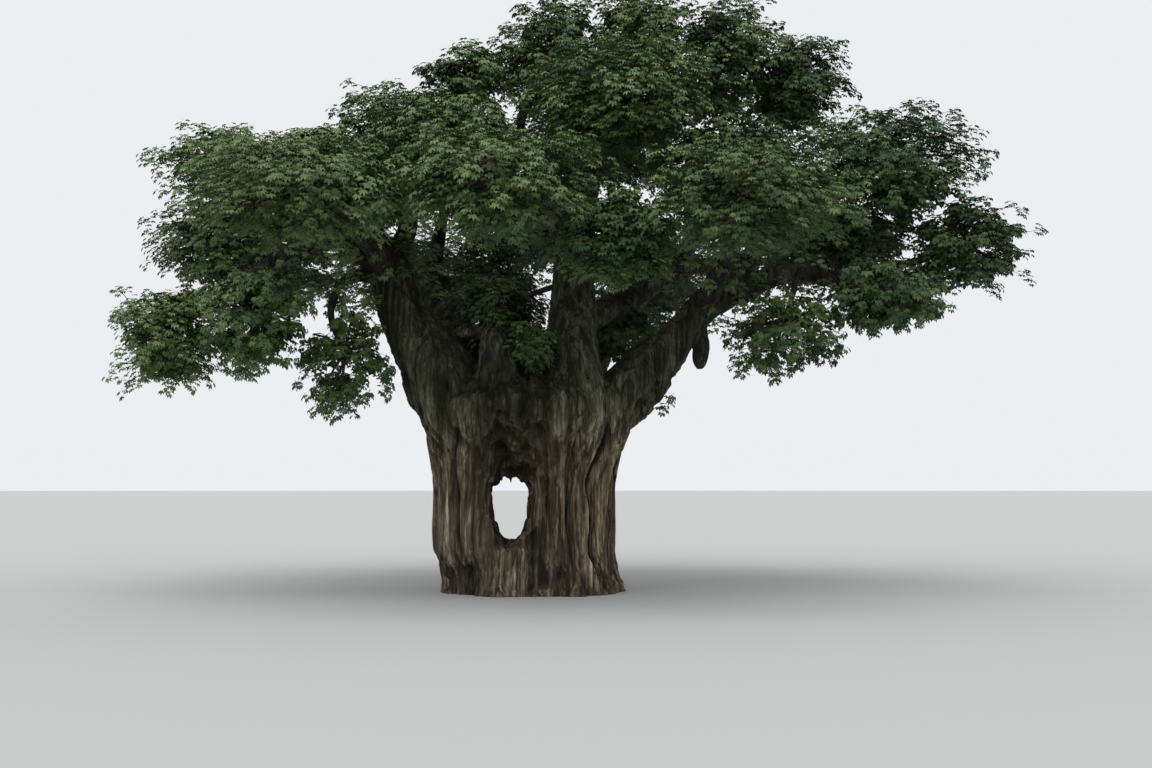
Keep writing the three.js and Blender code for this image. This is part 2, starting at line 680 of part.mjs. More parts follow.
// Adds twigs and leaf sprays to what a mass starts from, and returns it and the number of sprays.
function grow(mass, seed, start, others) {
  const hub = point(mass.middle);
  const turn = chance(seed) * 2 * Math.PI;
  const count = mass.airy ? GROWTH.twigs : GROWTH.sprays;
  let whole = start;
  let sprays = 0;
  for (let k = 0; k < count; k++) {
    const way = twigDirection(k, count, turn);
    const onCore = coreReach(way, seed, mass.core) * GROWTH.rimOfCore;
    const share = mass.airy ? GROWTH.twigReach : onCore;
    const end = hub.clone().add(way.clone().multiply(point(mass.half)).multiplyScalar(share));
    if (!keepsToItself(mass, [end])) continue;
    if (mass.airy) {
      const twig = twigSolid(hub, end, GROWTH.twigRadius * METRE);
      if (!isClear(twig, others, LEAF_CLEAR)) continue;
      whole = whole.add(twig);
    }
    for (let second = 0; second < (mass.airy ? 2 : 1); second++) {
      const leaf = leafOn(mass, hub, end, way, seed * 97 + k * 7 + second, second, others);
      if (!leaf) continue;
      whole = whole.add(leaf);
      sprays += 1;
    }
  }
  return { whole, sprays };
}

// The largest leaf spray that fits at the end of a twig or on the core, or nothing. A second spray
// on a twig starts nearer the middle and leans the other way.
function leafOn(mass, hub, end, way, seed, second, others) {
  const outward = way.clone().divide(new THREE.Vector3(...mass.half)).normalize();
  const aside = Math.abs(outward.z) < 0.9 ? new THREE.Vector3(0, 0, 1) : new THREE.Vector3(1, 0, 0);
  const sideways = new THREE.Vector3().crossVectors(outward, aside).normalize();
  sideways.applyAxisAngle(outward, (chance(seed) + second / 2) * 2 * Math.PI);
  const lean = THREE.MathUtils.lerp(GROWTH.leanLeast, GROWTH.leanMost, chance(seed + 0.3));
  const along = outward
    .clone()
    .multiplyScalar(Math.cos(lean))
    .addScaledVector(sideways, Math.sin(lean))
    .add(new THREE.Vector3(0, 0, -GROWTH.droop * chance(seed + 0.5)))
    .normalize();
  const root = second ? hub.clone().lerp(end, GROWTH.secondLeafAt) : end.clone();
  root.addScaledVector(along, -GROWTH.leafSunk * METRE * (mass.airy ? GROWTH.leafSunkInTwig : 1));
  for (const size of GROWTH.leafSizes) {
    const shape = leafShape(root, along, size, chance(seed + 3) * Math.PI);
    if (!keepsToItself(mass, corners(shape))) continue;
    const leaf = solidOf(shape);
    if (isClear(leaf, others, LEAF_CLEAR)) return leaf;
  }
  return null;
}

// All the masses: their stems and cores first, then the leaves, which keep clear of all of those.
function makeMasses() {
  const names = Object.keys(MASSES);
  const starts = [];
  const spaces = [];
  for (const [i, name] of names.entries()) {
    starts.push(cutBy(massStart(MASSES[name], i + 1), spaces));
    spaces.push(massStart(MASSES[name], i + 1, START_CLEAR));
  }
  let total = 0;
  for (const [i, name] of names.entries()) {
    const others = finished.concat(starts.filter((_, j) => j > i));
    const { whole, sprays } = grow(MASSES[name], i + 1, starts[i], others);
    addNode(name, cutBy(whole, limbSpaces), MATERIALS.leaves);
    total += sprays;
  }
  return total;
}

makeTrunk();
makeLimbs();
console.log(makeMasses() + " leaf sprays");

export default group;
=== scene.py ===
"""The looks of a great baobab in leaf, with a hole worn right through its trunk.

Metres, +Z up, the ground at z = 0 and the photographed side towards -Y, as in the part's source. The
wood is skinned afresh on the source's lines and its bark is cut in relief. Each mass of foliage grows
from its limb by the source's seeded rule and is carried on to branches, twigs, shoots and leaves.
"""

from __future__ import annotations

import itertools
import logging
import math
from collections.abc import Callable
from dataclasses import dataclass, field
from enum import Enum
from functools import cached_property

import bmesh
import bpy
import numpy as np
from mathutils import Matrix, Vector


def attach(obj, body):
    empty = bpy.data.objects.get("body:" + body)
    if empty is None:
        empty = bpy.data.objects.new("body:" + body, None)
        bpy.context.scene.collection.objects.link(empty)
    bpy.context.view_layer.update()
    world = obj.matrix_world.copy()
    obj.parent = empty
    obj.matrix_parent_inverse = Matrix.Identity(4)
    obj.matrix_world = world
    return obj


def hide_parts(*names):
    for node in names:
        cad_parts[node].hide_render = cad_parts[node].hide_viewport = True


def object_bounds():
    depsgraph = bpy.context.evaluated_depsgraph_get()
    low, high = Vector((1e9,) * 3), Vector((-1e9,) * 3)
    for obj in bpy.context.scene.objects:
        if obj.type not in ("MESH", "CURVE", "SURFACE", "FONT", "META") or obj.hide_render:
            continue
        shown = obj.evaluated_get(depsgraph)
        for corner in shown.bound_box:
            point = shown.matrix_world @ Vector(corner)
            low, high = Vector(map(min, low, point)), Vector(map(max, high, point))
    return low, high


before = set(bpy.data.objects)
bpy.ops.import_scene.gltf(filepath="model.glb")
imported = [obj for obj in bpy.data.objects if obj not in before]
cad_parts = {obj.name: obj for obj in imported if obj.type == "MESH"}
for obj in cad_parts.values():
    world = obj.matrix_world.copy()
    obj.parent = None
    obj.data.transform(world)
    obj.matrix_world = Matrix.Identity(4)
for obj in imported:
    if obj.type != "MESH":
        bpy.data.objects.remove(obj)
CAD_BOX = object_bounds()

Array = np.ndarray
Pair = tuple[float, float]
Point = tuple[float, float, float]
Colour = tuple[float, float, float]
Shape = bmesh.types.BMesh
Mesh = bpy.types.Mesh
Thing = bpy.types.Object
Socket = bpy.types.NodeSocket

BODY = "root"
GOLDEN_ANGLE = math.pi * (3 - math.sqrt(5))
LIMB_SWELL = 0.35  # how much thicker a limb is at its foot, as a share of its radius there
SWELL_LENGTH = 0.09  # how soon that is gone, as a share of the limb's length
DEAL_SCALE = 127.1  # the source's seeded rule: the fraction of a sine, much enlarged
DEAL_SHIFT = 311.7
DEAL_SIZE = 43758.5453
ALONG_X, ALONG_Y, UP = np.eye(3)

log = logging.getLogger("baobab")


def chance(n: float | Array) -> float | Array:
    """Deals a number from 0 to 1 for each seed, always the same for the same one.

    Whoever calls it scales and shifts a seed only to keep its draws apart from each other.
    """
    s = np.sin(n * DEAL_SCALE + DEAL_SHIFT) * DEAL_SIZE
    return s - np.floor(s)


def between(low: float, high: float, n: float | Array) -> float | Array:
    """Deals a number from low to high that is always the same for the same seed."""
    return low + (high - low) * chance(n)


def step(value: Array, low: float, high: float) -> Array:
    """Returns 0 where the value is low, 1 where it is high, and a smooth rise between."""
    t = np.clip((value - low) / (high - low), 0, 1)
    return t * t * (3 - 2 * t)


def bell(value: Array, middle: float, wide: float) -> Array:
    """Returns 1 at the middle of a bell curve, falling to 1/e at its width."""
    return np.exp(-(((value - middle) / wide) ** 2))


def unit(vectors: Array) -> Array:
    """Returns vectors of length 1, pointing as the given ones do."""
    return vectors / np.maximum(np.linalg.norm(vectors, axis=-1, keepdims=True), 1e-9)


def spread_evenly(count: int, turn: float) -> Array:
    """Spreads directions evenly over a ball, as the source does for its twigs.

    Args:
        count: How many directions.
        turn: How far the whole spread is turned about Z, in radians.

    Returns:
        A row for each direction.
    """
    k = np.arange(count)
    z = 1 - (2 * k + 1) / count
    flat = np.sqrt(1 - z * z)
    angle = k * GOLDEN_ANGLE + turn
    return np.stack([flat * np.cos(angle), flat * np.sin(angle), z], axis=1)


@dataclass(frozen=True)
class Noise:
    """A seeded noise that runs smoothly through space, from -1 to 1."""

    AXIS_MIXERS = (73856093, 19349663, 83492791)
    SEED_MIXER = 2654435761
    SCRAMBLERS = ((15, 2246822519), (13, 3266489917))
    LOW_BITS = 0xFFFFFFFF

    seed: int
    apart: float = 17.31  # how far in space two noises are apart whose seeds are neighbours

    def at(self, points: Array, size: float | Point) -> Array:
        """Reads the noise.

        Args:
            points: Where to read it, a row for each place.
            size: How large its features are, in metres, the same all ways or along X, Y and Z.

        Returns:
            A number for each place.
        """
        scaled = points / np.broadcast_to(np.asarray(size, float), (3,)) + self.seed * self.apart
        cell = np.floor(scaled).astype(np.int64)
        share = scaled - cell
        share = share * share * (3 - 2 * share)
        total = np.zeros(len(points))
        for corner in itertools.product((0, 1), repeat=3):
            weight = np.prod(np.where(corner, share, 1 - share), axis=1)
            total += weight * self.corner_value(cell + corner)
        return total

    def corner_value(self, cell: Array) -> Array:
        """Returns the number that belongs to each corner of the noise's grid."""
        mixed = self.seed * self.SEED_MIXER
        for axis, mixer in zip(cell.T, self.AXIS_MIXERS):
            mixed = mixed ^ (axis * mixer)
        mixed = mixed & self.LOW_BITS
        for shift, scrambler in self.SCRAMBLERS:
            mixed = ((mixed ^ (mixed >> shift)) * scrambler) & self.LOW_BITS
        return (mixed >> 8) / float(1 << 23) - 1

    def folds(self, points: Array, size: Point, sharpness: float) -> Array:
        """Reads it as ridges 1 high with creases at 0. The sharper, the narrower the creases."""
        return np.minimum(np.abs(self.at(points, size)) * sharpness, 1)


def smooth_line(points: Array, steps: int = 60) -> Array:
    """Follows three.js's centripetal Catmull-Rom rule through some points.

    Args:
        points: The points that the line passes.
        steps: How many short steps lie between two of them.

    Returns:
        The line as many points close together.
    """
    ends = np.vstack([2 * points[0] - points[1], points, 2 * points[-1] - points[-2]])
    w = np.linspace(0, 1, steps, endpoint=False)[:, None]
    rows = []
    for p0, p1, p2, p3 in zip(ends, ends[1:], ends[2:], ends[3:]):
        d0, d1, d2 = (math.sqrt(np.linalg.norm(b - a)) for a, b in ((p0, p1), (p1, p2), (p2, p3)))
        leave = ((p1 - p0) / d0 - (p2 - p0) / (d0 + d1) + (p2 - p1) / d1) * d1
        reach = ((p2 - p1) / d1 - (p3 - p1) / (d1 + d2) + (p3 - p2) / d2) * d1
        square = -3 * p1 + 3 * p2 - 2 * leave - reach
        cube = 2 * p1 - 2 * p2 + leave + reach
        rows.append(p1 + leave * w + square * w**2 + cube * w**3)
    return np.vstack([*rows, points[-1]])


class LimbEnd(Enum):
    """How a limb ends: hidden in a mass of foliage, broken off, or rounded."""

    HIDDEN = "hidden"
    BROKEN = "broken"
    ROUND = "round"


@dataclass(frozen=True)
class Limb:
    """One tapering limb as the source gives it, in metres.

    A limb with a root is fused to the trunk. The greater a limb's ease, the sooner it thins.
    """

    points: tuple[Point, ...]
    foot: float
    tip: float
    root: float = 0.0
    ease: float = 1.15
    end: LimbEnd = LimbEnd.HIDDEN

    @cached_property
    def course(self) -> Array:
        """The limb's line as many points close together."""
        return smooth_line(np.array(self.points, float))

    @cached_property
    def distances(self) -> Array:
        """How far along the line each point of its course is."""
        steps = np.linalg.norm(np.diff(self.course, axis=0), axis=1)
        return np.concatenate([[0.0], np.cumsum(steps)])

    @property
    def length(self) -> float:
        """The limb's whole length."""
        return float(self.distances[-1])

    def line(self, shares: Array) -> Array:
        """Returns the point at each share of the limb's length."""
        along = np.asarray(shares, float) * self.length
        return np.stack([np.interp(along, self.distances, axis) for axis in self.course.T], axis=-1)

    def heading(self, shares: Array) -> Array:
        """Returns the way the limb runs at each share of its length."""
        shares = np.asarray(shares, float)
        return unit(self.line(np.minimum(shares + 0.01, 1)) - self.line(np.maximum(shares - 0.01, 0)))

    def radius(self, shares: Array) -> Array:
        """Returns the limb's radius at each share of its length."""
        shares = np.asarray(shares, float)
        swell = 0.0 if self.root else LIMB_SWELL * self.foot * np.exp(-shares / SWELL_LENGTH)
        return self.tip + (self.foot - self.tip) * np.clip(1 - shares, 0, 1) ** self.ease + swell


LIMBS: dict[str, Limb] = {
    "bough_left": Limb(
        ((-1.4, -0.45, 3.9), (-2.25, -0.5, 5.5), (-3.12, -0.5, 6.95), (-3.42, -0.5, 8.15)),
        1.22, 0.43, 0.46,
    ),
    "bough_centre": Limb(
        ((0.8, -0.45, 4.0), (1.1, -0.45, 5.9), (1.15, -0.3, 7.5), (1.15, -0.1, 8.9)), 1.0, 0.44, 0.4, 1.8
    ),
    "bough_right": Limb(
        (
            (1.5, -0.45, 3.9), (2.75, -0.5, 5.15), (3.5, -0.5, 5.95), (4.35, -0.45, 7.0),
            (5.45, -0.45, 7.6),
        ),
        1.05, 0.3, 0.36, 2.0,
    ),
    "bough_back_left": Limb(
        ((-0.9, 0.9, 3.9), (-1.45, 1.75, 5.6), (-2.25, 3.0, 7.2), (-2.8, 4.2, 8.5)), 0.95, 0.4, 0.4
    ),
    "bough_back_right": Limb(
        ((0.8, 1.0, 3.9), (1.25, 1.9, 5.6), (2.15, 3.3, 7.1), (3.3, 4.6, 8.3)), 0.95, 0.4, 0.4
    ),
    "broken_stub": Limb(
        ((-0.62, -1.15, 4.2), (-0.68, -1.1, 5.5), (-0.69, -1.05, 6.62)),
        0.66, 0.36, 0.54, end=LimbEnd.BROKEN,
    ),
    "hanging_knob": Limb(
        ((4.15, -0.45, 6.75), (4.28, -0.6, 6.1), (4.26, -0.64, 5.48)), 0.28, 0.2, 0, 2.0, LimbEnd.ROUND
    ),
    "limb_left_low": Limb(
        ((-3.35, -0.5, 7.8), (-4.6, -0.6, 8.6), (-5.8, -0.8, 8.35), (-6.9, -1.0, 7.55)), 0.34, 0.13
    ),
    "limb_left_high": Limb(
        ((-3.4, -0.45, 8.1), (-4.1, -0.3, 9.3), (-5.0, -0.25, 10.0), (-5.7, -0.2, 10.3)), 0.32, 0.15
    ),
    "limb_left_up": Limb(((-3.38, -0.45, 8.0), (-3.0, 0.0, 9.2), (-3.1, 0.1, 10.4)), 0.32, 0.16),
    "limb_left_front": Limb(((-3.3, -0.5, 7.8), (-3.9, -2.2, 8.5), (-4.4, -3.7, 8.9)), 0.32, 0.16),
    "limb_left_hang": Limb(
        ((-3.1, -0.45, 7.1), (-3.95, -0.7, 7.75), (-4.6, -0.85, 7.5), (-4.8, -0.9, 6.9)), 0.22, 0.1
    ),
    "limb_centre_up": Limb(
        ((1.15, -0.1, 8.6), (1.5, 0.0, 10.1), (2.0, 0.1, 11.2), (2.45, 0.2, 12.2)), 0.42, 0.17
    ),
    "limb_centre_left": Limb(
        ((1.13, 0.0, 8.3), (0.5, 0.3, 9.9), (-0.1, 0.4, 11.2), (-0.2, 0.4, 11.8)), 0.34, 0.15
    ),
    "limb_centre_right": Limb(
        ((1.15, -0.3, 6.7), (2.5, 0.4, 7.25), (3.9, 1.2, 8.5), (4.9, 1.2, 9.9), (5.1, 1.0, 11.5)),
        0.33, 0.14,
    ),
    "limb_centre_front": Limb(((1.13, 0.0, 8.0), (0.95, -2.0, 8.9), (0.6, -4.0, 8.9)), 0.36, 0.16),
    "limb_right_out": Limb(
        ((5.2, -0.45, 7.42), (6.7, -0.5, 7.95), (7.8, -0.4, 7.75), (9.4, -0.3, 8.15)), 0.3, 0.12
    ),
    "limb_right_up": Limb(((5.0, -0.45, 7.35), (5.9, -0.4, 8.7), (7.0, -0.4, 9.6)), 0.3, 0.15),
    "limb_right_front": Limb(((4.3, -0.4, 6.95), (4.7, -2.2, 7.9), (4.6, -3.6, 8.2)), 0.32, 0.15),
    "limb_back_left_out": Limb(((-2.7, 4.0, 8.2), (-4.2, 4.5, 8.9), (-5.3, 4.7, 9.1)), 0.28, 0.13),
    "limb_back_left_up": Limb(((-2.75, 4.1, 8.4), (-2.5, 4.2, 9.6), (-2.3, 4.2, 10.6)), 0.28, 0.14),
    "limb_back_right_out": Limb(((3.2, 4.4, 8.1), (4.9, 4.7, 8.9), (6.2, 4.8, 9.2)), 0.28, 0.13),
    "limb_back_right_up": Limb(((3.25, 4.5, 8.2), (2.9, 4.5, 9.7), (2.4, 4.6, 11.0)), 0.28, 0.14),
}


@dataclass(frozen=True)
class Mass:
    """The space that one mass of foliage keeps to, in metres, and the limb it grows from.

    A mass with root_at springs from its limb's side there, and the others from the limb's tip. An
    airy one has few branches, and one that weeps hangs its twigs down.
    """

    limb: str
    middle: Point
    half: Point
    root_at: float = 0.0
    airy: bool = False
    weeps: bool = False


MASSES: dict[str, Mass] = {
    "foliage_left_tip": Mass("limb_left_low", (-8.8, -0.9, 6.15), (1.75, 1.6, 1.6)),
    "foliage_left_low": Mass("limb_left_low", (-6.5, -1.9, 6.75), (1.5, 1.5, 1.6), 0.86, weeps=True),
    "foliage_left_plateau": Mass("limb_left_high", (-7.3, -0.2, 10.5), (2.1, 2.1, 1.1)),
    "foliage_left_side": Mass("limb_left_high", (-7.75, 0.3, 8.65), (1.95, 1.9, 1.4), 0.8),
    "foliage_left_shoulder": Mass("limb_left_up", (-3.15, 0.1, 11.5), (2.15, 2.3, 1.35)),
    "foliage_left_top": Mass("limb_left_high", (-5.3, 1, 11), (1.4, 1.8, 1), 0.9),
    "foliage_left_front": Mass("limb_left_front", (-4.9, -5.5, 8.8), (2.6, 2.4, 1.5)),
    "foliage_left_hanging": Mass(
        "limb_left_hang", (-4.4, -0.95, 5.85), (1.45, 1.25, 1.75), airy=True, weeps=True
    ),
    "foliage_left_heart": Mass("limb_left_front", (-4.2, -2.3, 9.5), (2, 1.7, 1.4), 0.6),
    "foliage_top_tuft": Mass("limb_centre_left", (-1.4, -0.4, 12.8), (1.3, 1.3, 0.9), 0.7, airy=True),
    "foliage_top_left": Mass("limb_centre_left", (0.75, 0.4, 13.4), (1.9, 2.6, 1.85)),
    "foliage_top": Mass("limb_centre_up", (2.8, 0.4, 13.8), (2.1, 2.9, 1.7)),
    "foliage_top_right": Mass("limb_centre_right", (4.95, 0.6, 13.5), (1.95, 2.7, 1.85)),
    "foliage_right_upper": Mass("limb_centre_right", (6.9, 0.8, 13.05), (1.55, 2.1, 1.5), 0.9),
    "foliage_top_front": Mass("limb_centre_up", (2.2, -3.1, 11.5), (2.6, 2.4, 1.6), 0.6),
    "foliage_front": Mass("limb_centre_front", (-0.6, -6.1, 8.85), (2.6, 2.3, 1.5)),
    "foliage_front_left": Mass("limb_centre_front", (-1.7, -3.2, 10.25), (2.2, 1.9, 1.7), 0.75),
    "foliage_front_right": Mass("limb_centre_front", (2, -4.6, 8), (1.7, 1.6, 1.25), 0.9),
    "foliage_right_front": Mass("limb_right_front", (4.7, -5.9, 8.6), (2.6, 2.3, 1.5)),
    "foliage_right_heart": Mass("limb_right_front", (4.8, -2.7, 10), (2.3, 1.8, 1.6), 0.7),
    "foliage_right_dome": Mass("limb_right_up", (8.95, -0.7, 10.5), (2.65, 2.4, 1.95)),
    "foliage_right_tip": Mass("limb_right_out", (11.05, -0.3, 8.6), (2, 1.8, 1.45)),
    "foliage_right_middle": Mass("limb_right_out", (8.45, 0.1, 8.95), (2, 1.6, 1.3), 0.55),
    "foliage_right_low": Mass("limb_right_out", (8.75, -1.4, 7.4), (1.65, 1.6, 1.05), 0.85, weeps=True),
    "foliage_right_hanging": Mass(
        "limb_right_out", (6.3, -0.9, 6.55), (1.85, 1.6, 1.3), 0.35, airy=True, weeps=True
    ),
    "foliage_inner_hanging": Mass(
        "limb_centre_right", (2.5, 1.5, 6.75), (1.2, 1.05, 0.95), 0.28, airy=True, weeps=True
    ),
    "foliage_fork": Mass("bough_centre", (0.07, -1.5, 5.9), (0.6, 0.55, 0.75), 0.45, airy=True),
    "foliage_heart": Mass("bough_centre", (-0.8, 1.1, 7.15), (1.35, 1.1, 1.05), 0.72),
    "foliage_back_left": Mass("limb_back_left_out", (-6.9, 4.9, 9), (2.5, 2.6, 1.6)),
    "foliage_back_left_up": Mass("limb_back_left_up", (-2.6, 4, 11.6), (2.5, 2.6, 1.7)),
    "foliage_back_left_end": Mass("bough_back_left", (-3.2, 7.6, 8.9), (2.6, 2.2, 1.5)),
    "foliage_back_right": Mass("limb_back_right_out", (7.9, 4.6, 9.4), (2.6, 2.7, 1.7)),
    "foliage_back_right_up": Mass("limb_back_right_up", (2.3, 4.6, 12.3), (2.8, 2.5, 1.7)),
    "foliage_back_right_end": Mass("bough_back_right", (3.7, 7.9, 8.8), (2.6, 2.2, 1.5)),
    "foliage_back_heart": Mass("bough_back_left", (-0.9, 4, 8.8), (1.7, 1.5, 1.35), 0.75, airy=True),
    "foliage_back_middle": Mass("bough_back_right", (0.3, 7.2, 10.3), (2, 2, 1.3), 0.9),
}


def ringed_cylinder(sides: int, rings: int) -> Shape:
    """Makes a closed cylinder of radius 1 that stands from z = 0 to 1.

    Args:
        sides: How many flat sides it has.
        rings: How many rows of faces lie one above the other.

    Returns:
        The cylinder, for a shape to be put on its vertices.
    """
    body = bmesh.new()
    raised = Matrix.Translation((0, 0, 0.5))
    bmesh.ops.create_cone(
        body, cap_ends=True, segments=sides, radius1=1, radius2=1, depth=1, matrix=raised
    )
    upright = [e for e in body.edges if abs(e.verts[0].co.z - e.verts[1].co.z) > 0.5]
    bmesh.ops.subdivide_edges(body, edges=upright, cuts=rings - 1, use_grid_fill=True)
    return body


def vertex_places(body: Shape) -> Array:
    """Returns where a bmesh's vertices are, a row for each."""
    return np.array([vertex.co[:] for vertex in body.verts])


def move_vertices(body: Shape, places: Array) -> None:
    """Moves each vertex of a bmesh to its place, and turns its faces outwards."""
    for vertex, place in zip(body.verts, places):
        vertex.co = place
    bmesh.ops.recalc_face_normals(body, faces=body.faces)


def places_and_normals(mesh: Mesh) -> tuple[Array, Array]:
    """Returns where each vertex of a mesh is and the way it faces, a row for each."""
    both = []
    for rows, name in ((mesh.vertices, "co"), (mesh.vertex_normals, "vector")):
        flat = np.empty(len(rows) * 3, np.float32)
        rows.foreach_get(name, flat)
        both.append(flat.reshape(-1, 3).astype(float))
    return both[0], both[1]


def set_places(mesh: Mesh, places: Array) -> None:
    """Moves each vertex of a mesh to its place."""
    mesh.vertices.foreach_set("co", places.astype(np.float32).ravel())
    mesh.update()


def shown(name: str, mesh: Mesh) -> Thing:
    """Puts a mesh in the scene as an object at the origin."""
    mesh.name = name
    thing = bpy.data.objects.new(name, mesh)
    bpy.context.collection.objects.link(thing)
    return thing


def joined_mesh(name: str, points: Array, polygons: list[Array]) -> Mesh:
    """Makes one mesh of many small shapes from arrays.

    Args:
        name: The mesh's name.
        points: Where its vertices are, a row for each.
        polygons: Arrays of vertex numbers, a row for each face, all of one array with as many corners.

    Returns:
        The finished mesh.
    """
    mesh = bpy.data.meshes.new(name)
    mesh.vertices.add(len(points))
    mesh.vertices.foreach_set("co", points.astype(np.float32).ravel())
    corners = np.concatenate([rows.ravel() for rows in polygons]).astype(np.int32)
    sizes = np.concatenate([np.full(len(rows), rows.shape[1]) for rows in polygons])
    starts = np.concatenate([[0], np.cumsum(sizes)[:-1]]).astype(np.int32)
    mesh.loops.add(len(corners))
    mesh.loops.foreach_set("vertex_index", corners)
    mesh.polygons.add(len(sizes))
    mesh.polygons.foreach_set("loop_start", starts)
    mesh.update(calc_edges=True)
    mesh.validate()
    return mesh


@dataclass(frozen=True)
class Grain:
    """A noise in a material: its features to a metre, its finer layers, their strength, and its stray.

    Its upright is how tight it is along Z, where across is 1. In a fibrous one that is multiplied by
    the upright of its finish.
    """

    upright: float
    scale: float
    detail: float
    roughness: float
    distortion: float = 0.0
    fibrous: bool = True


class Recipe:
    """A material under construction: its nodes, their links and its shader."""

    MIX_INPUTS = (0, 6, 7)  # a mix node's sockets for colours: its share, its first and its second
    MIX_OUTPUT = 2

    def __init__(self, name: str) -> None:
        """Starts a material with only a shader and its output."""
        self.material = bpy.data.materials.new(name)
        self.material.use_nodes = True
        self.tree = self.material.node_tree
        self.shader = self.tree.nodes["Principled BSDF"]

    def node(self, kind: str, **settings: object) -> bpy.types.Node:
        """Adds a node.

        Args:
            kind: Blender's name for the kind of node.
            **settings: Its properties.

        Returns:
            The new node.
        """
        made = self.tree.nodes.new(kind)
        for key, value in settings.items():
            setattr(made, key, value)
        return made

    def feed(self, source: Socket | float | Colour, target: Socket) -> None:
        """Links an output to an input, or sets the input to a number or a colour."""
        if isinstance(source, float):
            target.default_value = source
        elif isinstance(source, tuple):
            target.default_value = (*source, 1)
        else:
            self.tree.links.new(source, target)

    def noise(self, grain: Grain, upright: float) -> Socket:
        """Adds a noise that follows the object.

        Args:
            grain: What the noise is like.
            upright: How tight it is along Z, where across is 1.

        Returns:
            The noise's output, about 0.5 on average.
        """
        place = self.node("ShaderNodeTexCoord")
        mapping = self.node("ShaderNodeMapping")
        mapping.inputs["Scale"].default_value = (1, 1, upright)
        made = self.node("ShaderNodeTexNoise")
        for name in ("Scale", "Detail", "Roughness", "Distortion"):
            made.inputs[name].default_value = getattr(grain, name.lower())
        self.feed(place.outputs["Object"], mapping.inputs["Vector"])
        self.feed(mapping.outputs["Vector"], made.inputs["Vector"])
        return made.outputs["Fac"]

    def ramp(self, source: Socket, places: tuple[float, ...], *colours: Colour) -> Socket:
        """Adds a ramp of colours, read by a number.

        Args:
            source: The number that reads it.
            places: Places from 0 to 1 on the ramp.
            *colours: The colour at each place.

        Returns:
            The ramp's colour.
        """
        made = self.node("ShaderNodeValToRGB")
        elements = made.color_ramp.elements
        while len(elements) < len(colours):
            elements.new(0.5)
        for element, place, colour in zip(elements, places, colours):
            element.position = place
            element.color = (*colour, 1)
        self.feed(source, made.inputs["Fac"])
        return made.outputs["Color"]

    def crossings(self, source: Socket, half_wide: float) -> Socket:
        """Adds a ramp that is white only where a noise crosses its middle, which makes thin lines."""
        return self.greys(source, (0.5 - half_wide, 0.0), (0.5, 1.0), (0.5 + half_wide, 0.0))

    def greys(self, source: Socket, *stops: Pair) -> Socket:
        """Adds a ramp of greys, each with its place from 0 to 1 on it, read by a number."""
        places, greys = zip(*stops)
        return self.ramp(source, places, *((grey, grey, grey) for grey in greys))

    def mix(
        self, share: Socket | float, first: Socket, second: Socket | Colour, blend: str = "MIX"
    ) -> Socket:
        """Mixes two colours.

        Args:
            share: How much of the second is mixed in.
            first: The colour underneath.
            second: The colour on top, linked or fixed.
            blend: Blender's name for the way they are mixed.

        Returns:
            The mixed colour.
        """
        made = self.node("ShaderNodeMix", data_type="RGBA", blend_type=blend)
        for number, value in zip(self.MIX_INPUTS, (share, first, second)):
            self.feed(value, made.inputs[number])
        return made.outputs[self.MIX_OUTPUT]

    def multiplied(self, first: Socket, second: Socket) -> Socket:
        """Multiplies one colour by another."""
        return self.mix(1.0, first, second, "MULTIPLY")

    def by_height(self, low: float, high: float, colour: Colour) -> Socket:
        """Adds a colour that goes from white to the given one with height.

        Args:
            low: Up to where it is white, in metres.
            high: From where on it is the given colour.
            colour: That colour.

        Returns:
            The colour.
        """
        place = self.node("ShaderNodeTexCoord")
        split = self.node("ShaderNodeSeparateXYZ")
        rise = self.node("ShaderNodeMapRange", interpolation_type="SMOOTHSTEP")
        self.feed(low, rise.inputs["From Min"])
        self.feed(high, rise.inputs["From Max"])
        self.feed(place.outputs["Object"], split.inputs["Vector"])
        self.feed(split.outputs["Z"], rise.inputs["Value"])
        return self.ramp(rise.outputs["Result"], (0.0, 1.0), (1.0, 1.0, 1.0), colour)

    def maths(self, operation: str, *numbers: Socket | float, clamp: bool = True) -> Socket:
        """Adds a sum of two or three numbers, each of them fixed or linked.

        Args:
            operation: Blender's name for the sum.
            *numbers: The numbers.
            clamp: Whether the result is kept from 0 to 1.

        Returns:
            The result.
        """
        made = self.node("ShaderNodeMath", operation=operation, use_clamp=clamp)
        for number, socket in zip(numbers, made.inputs):
            self.feed(number, socket)
        return made.outputs[0]

    def finished(self, colour: Socket | Colour, roughness: float, specular: float) -> bpy.types.Material:
        """Gives the shader its colour and its sheen, and returns the material."""
        self.feed(colour, self.shader.inputs["Base Color"])
        self.feed(roughness, self.shader.inputs["Roughness"])
        self.feed(specular, self.shader.inputs["Specular IOR Level"])
        return self.material


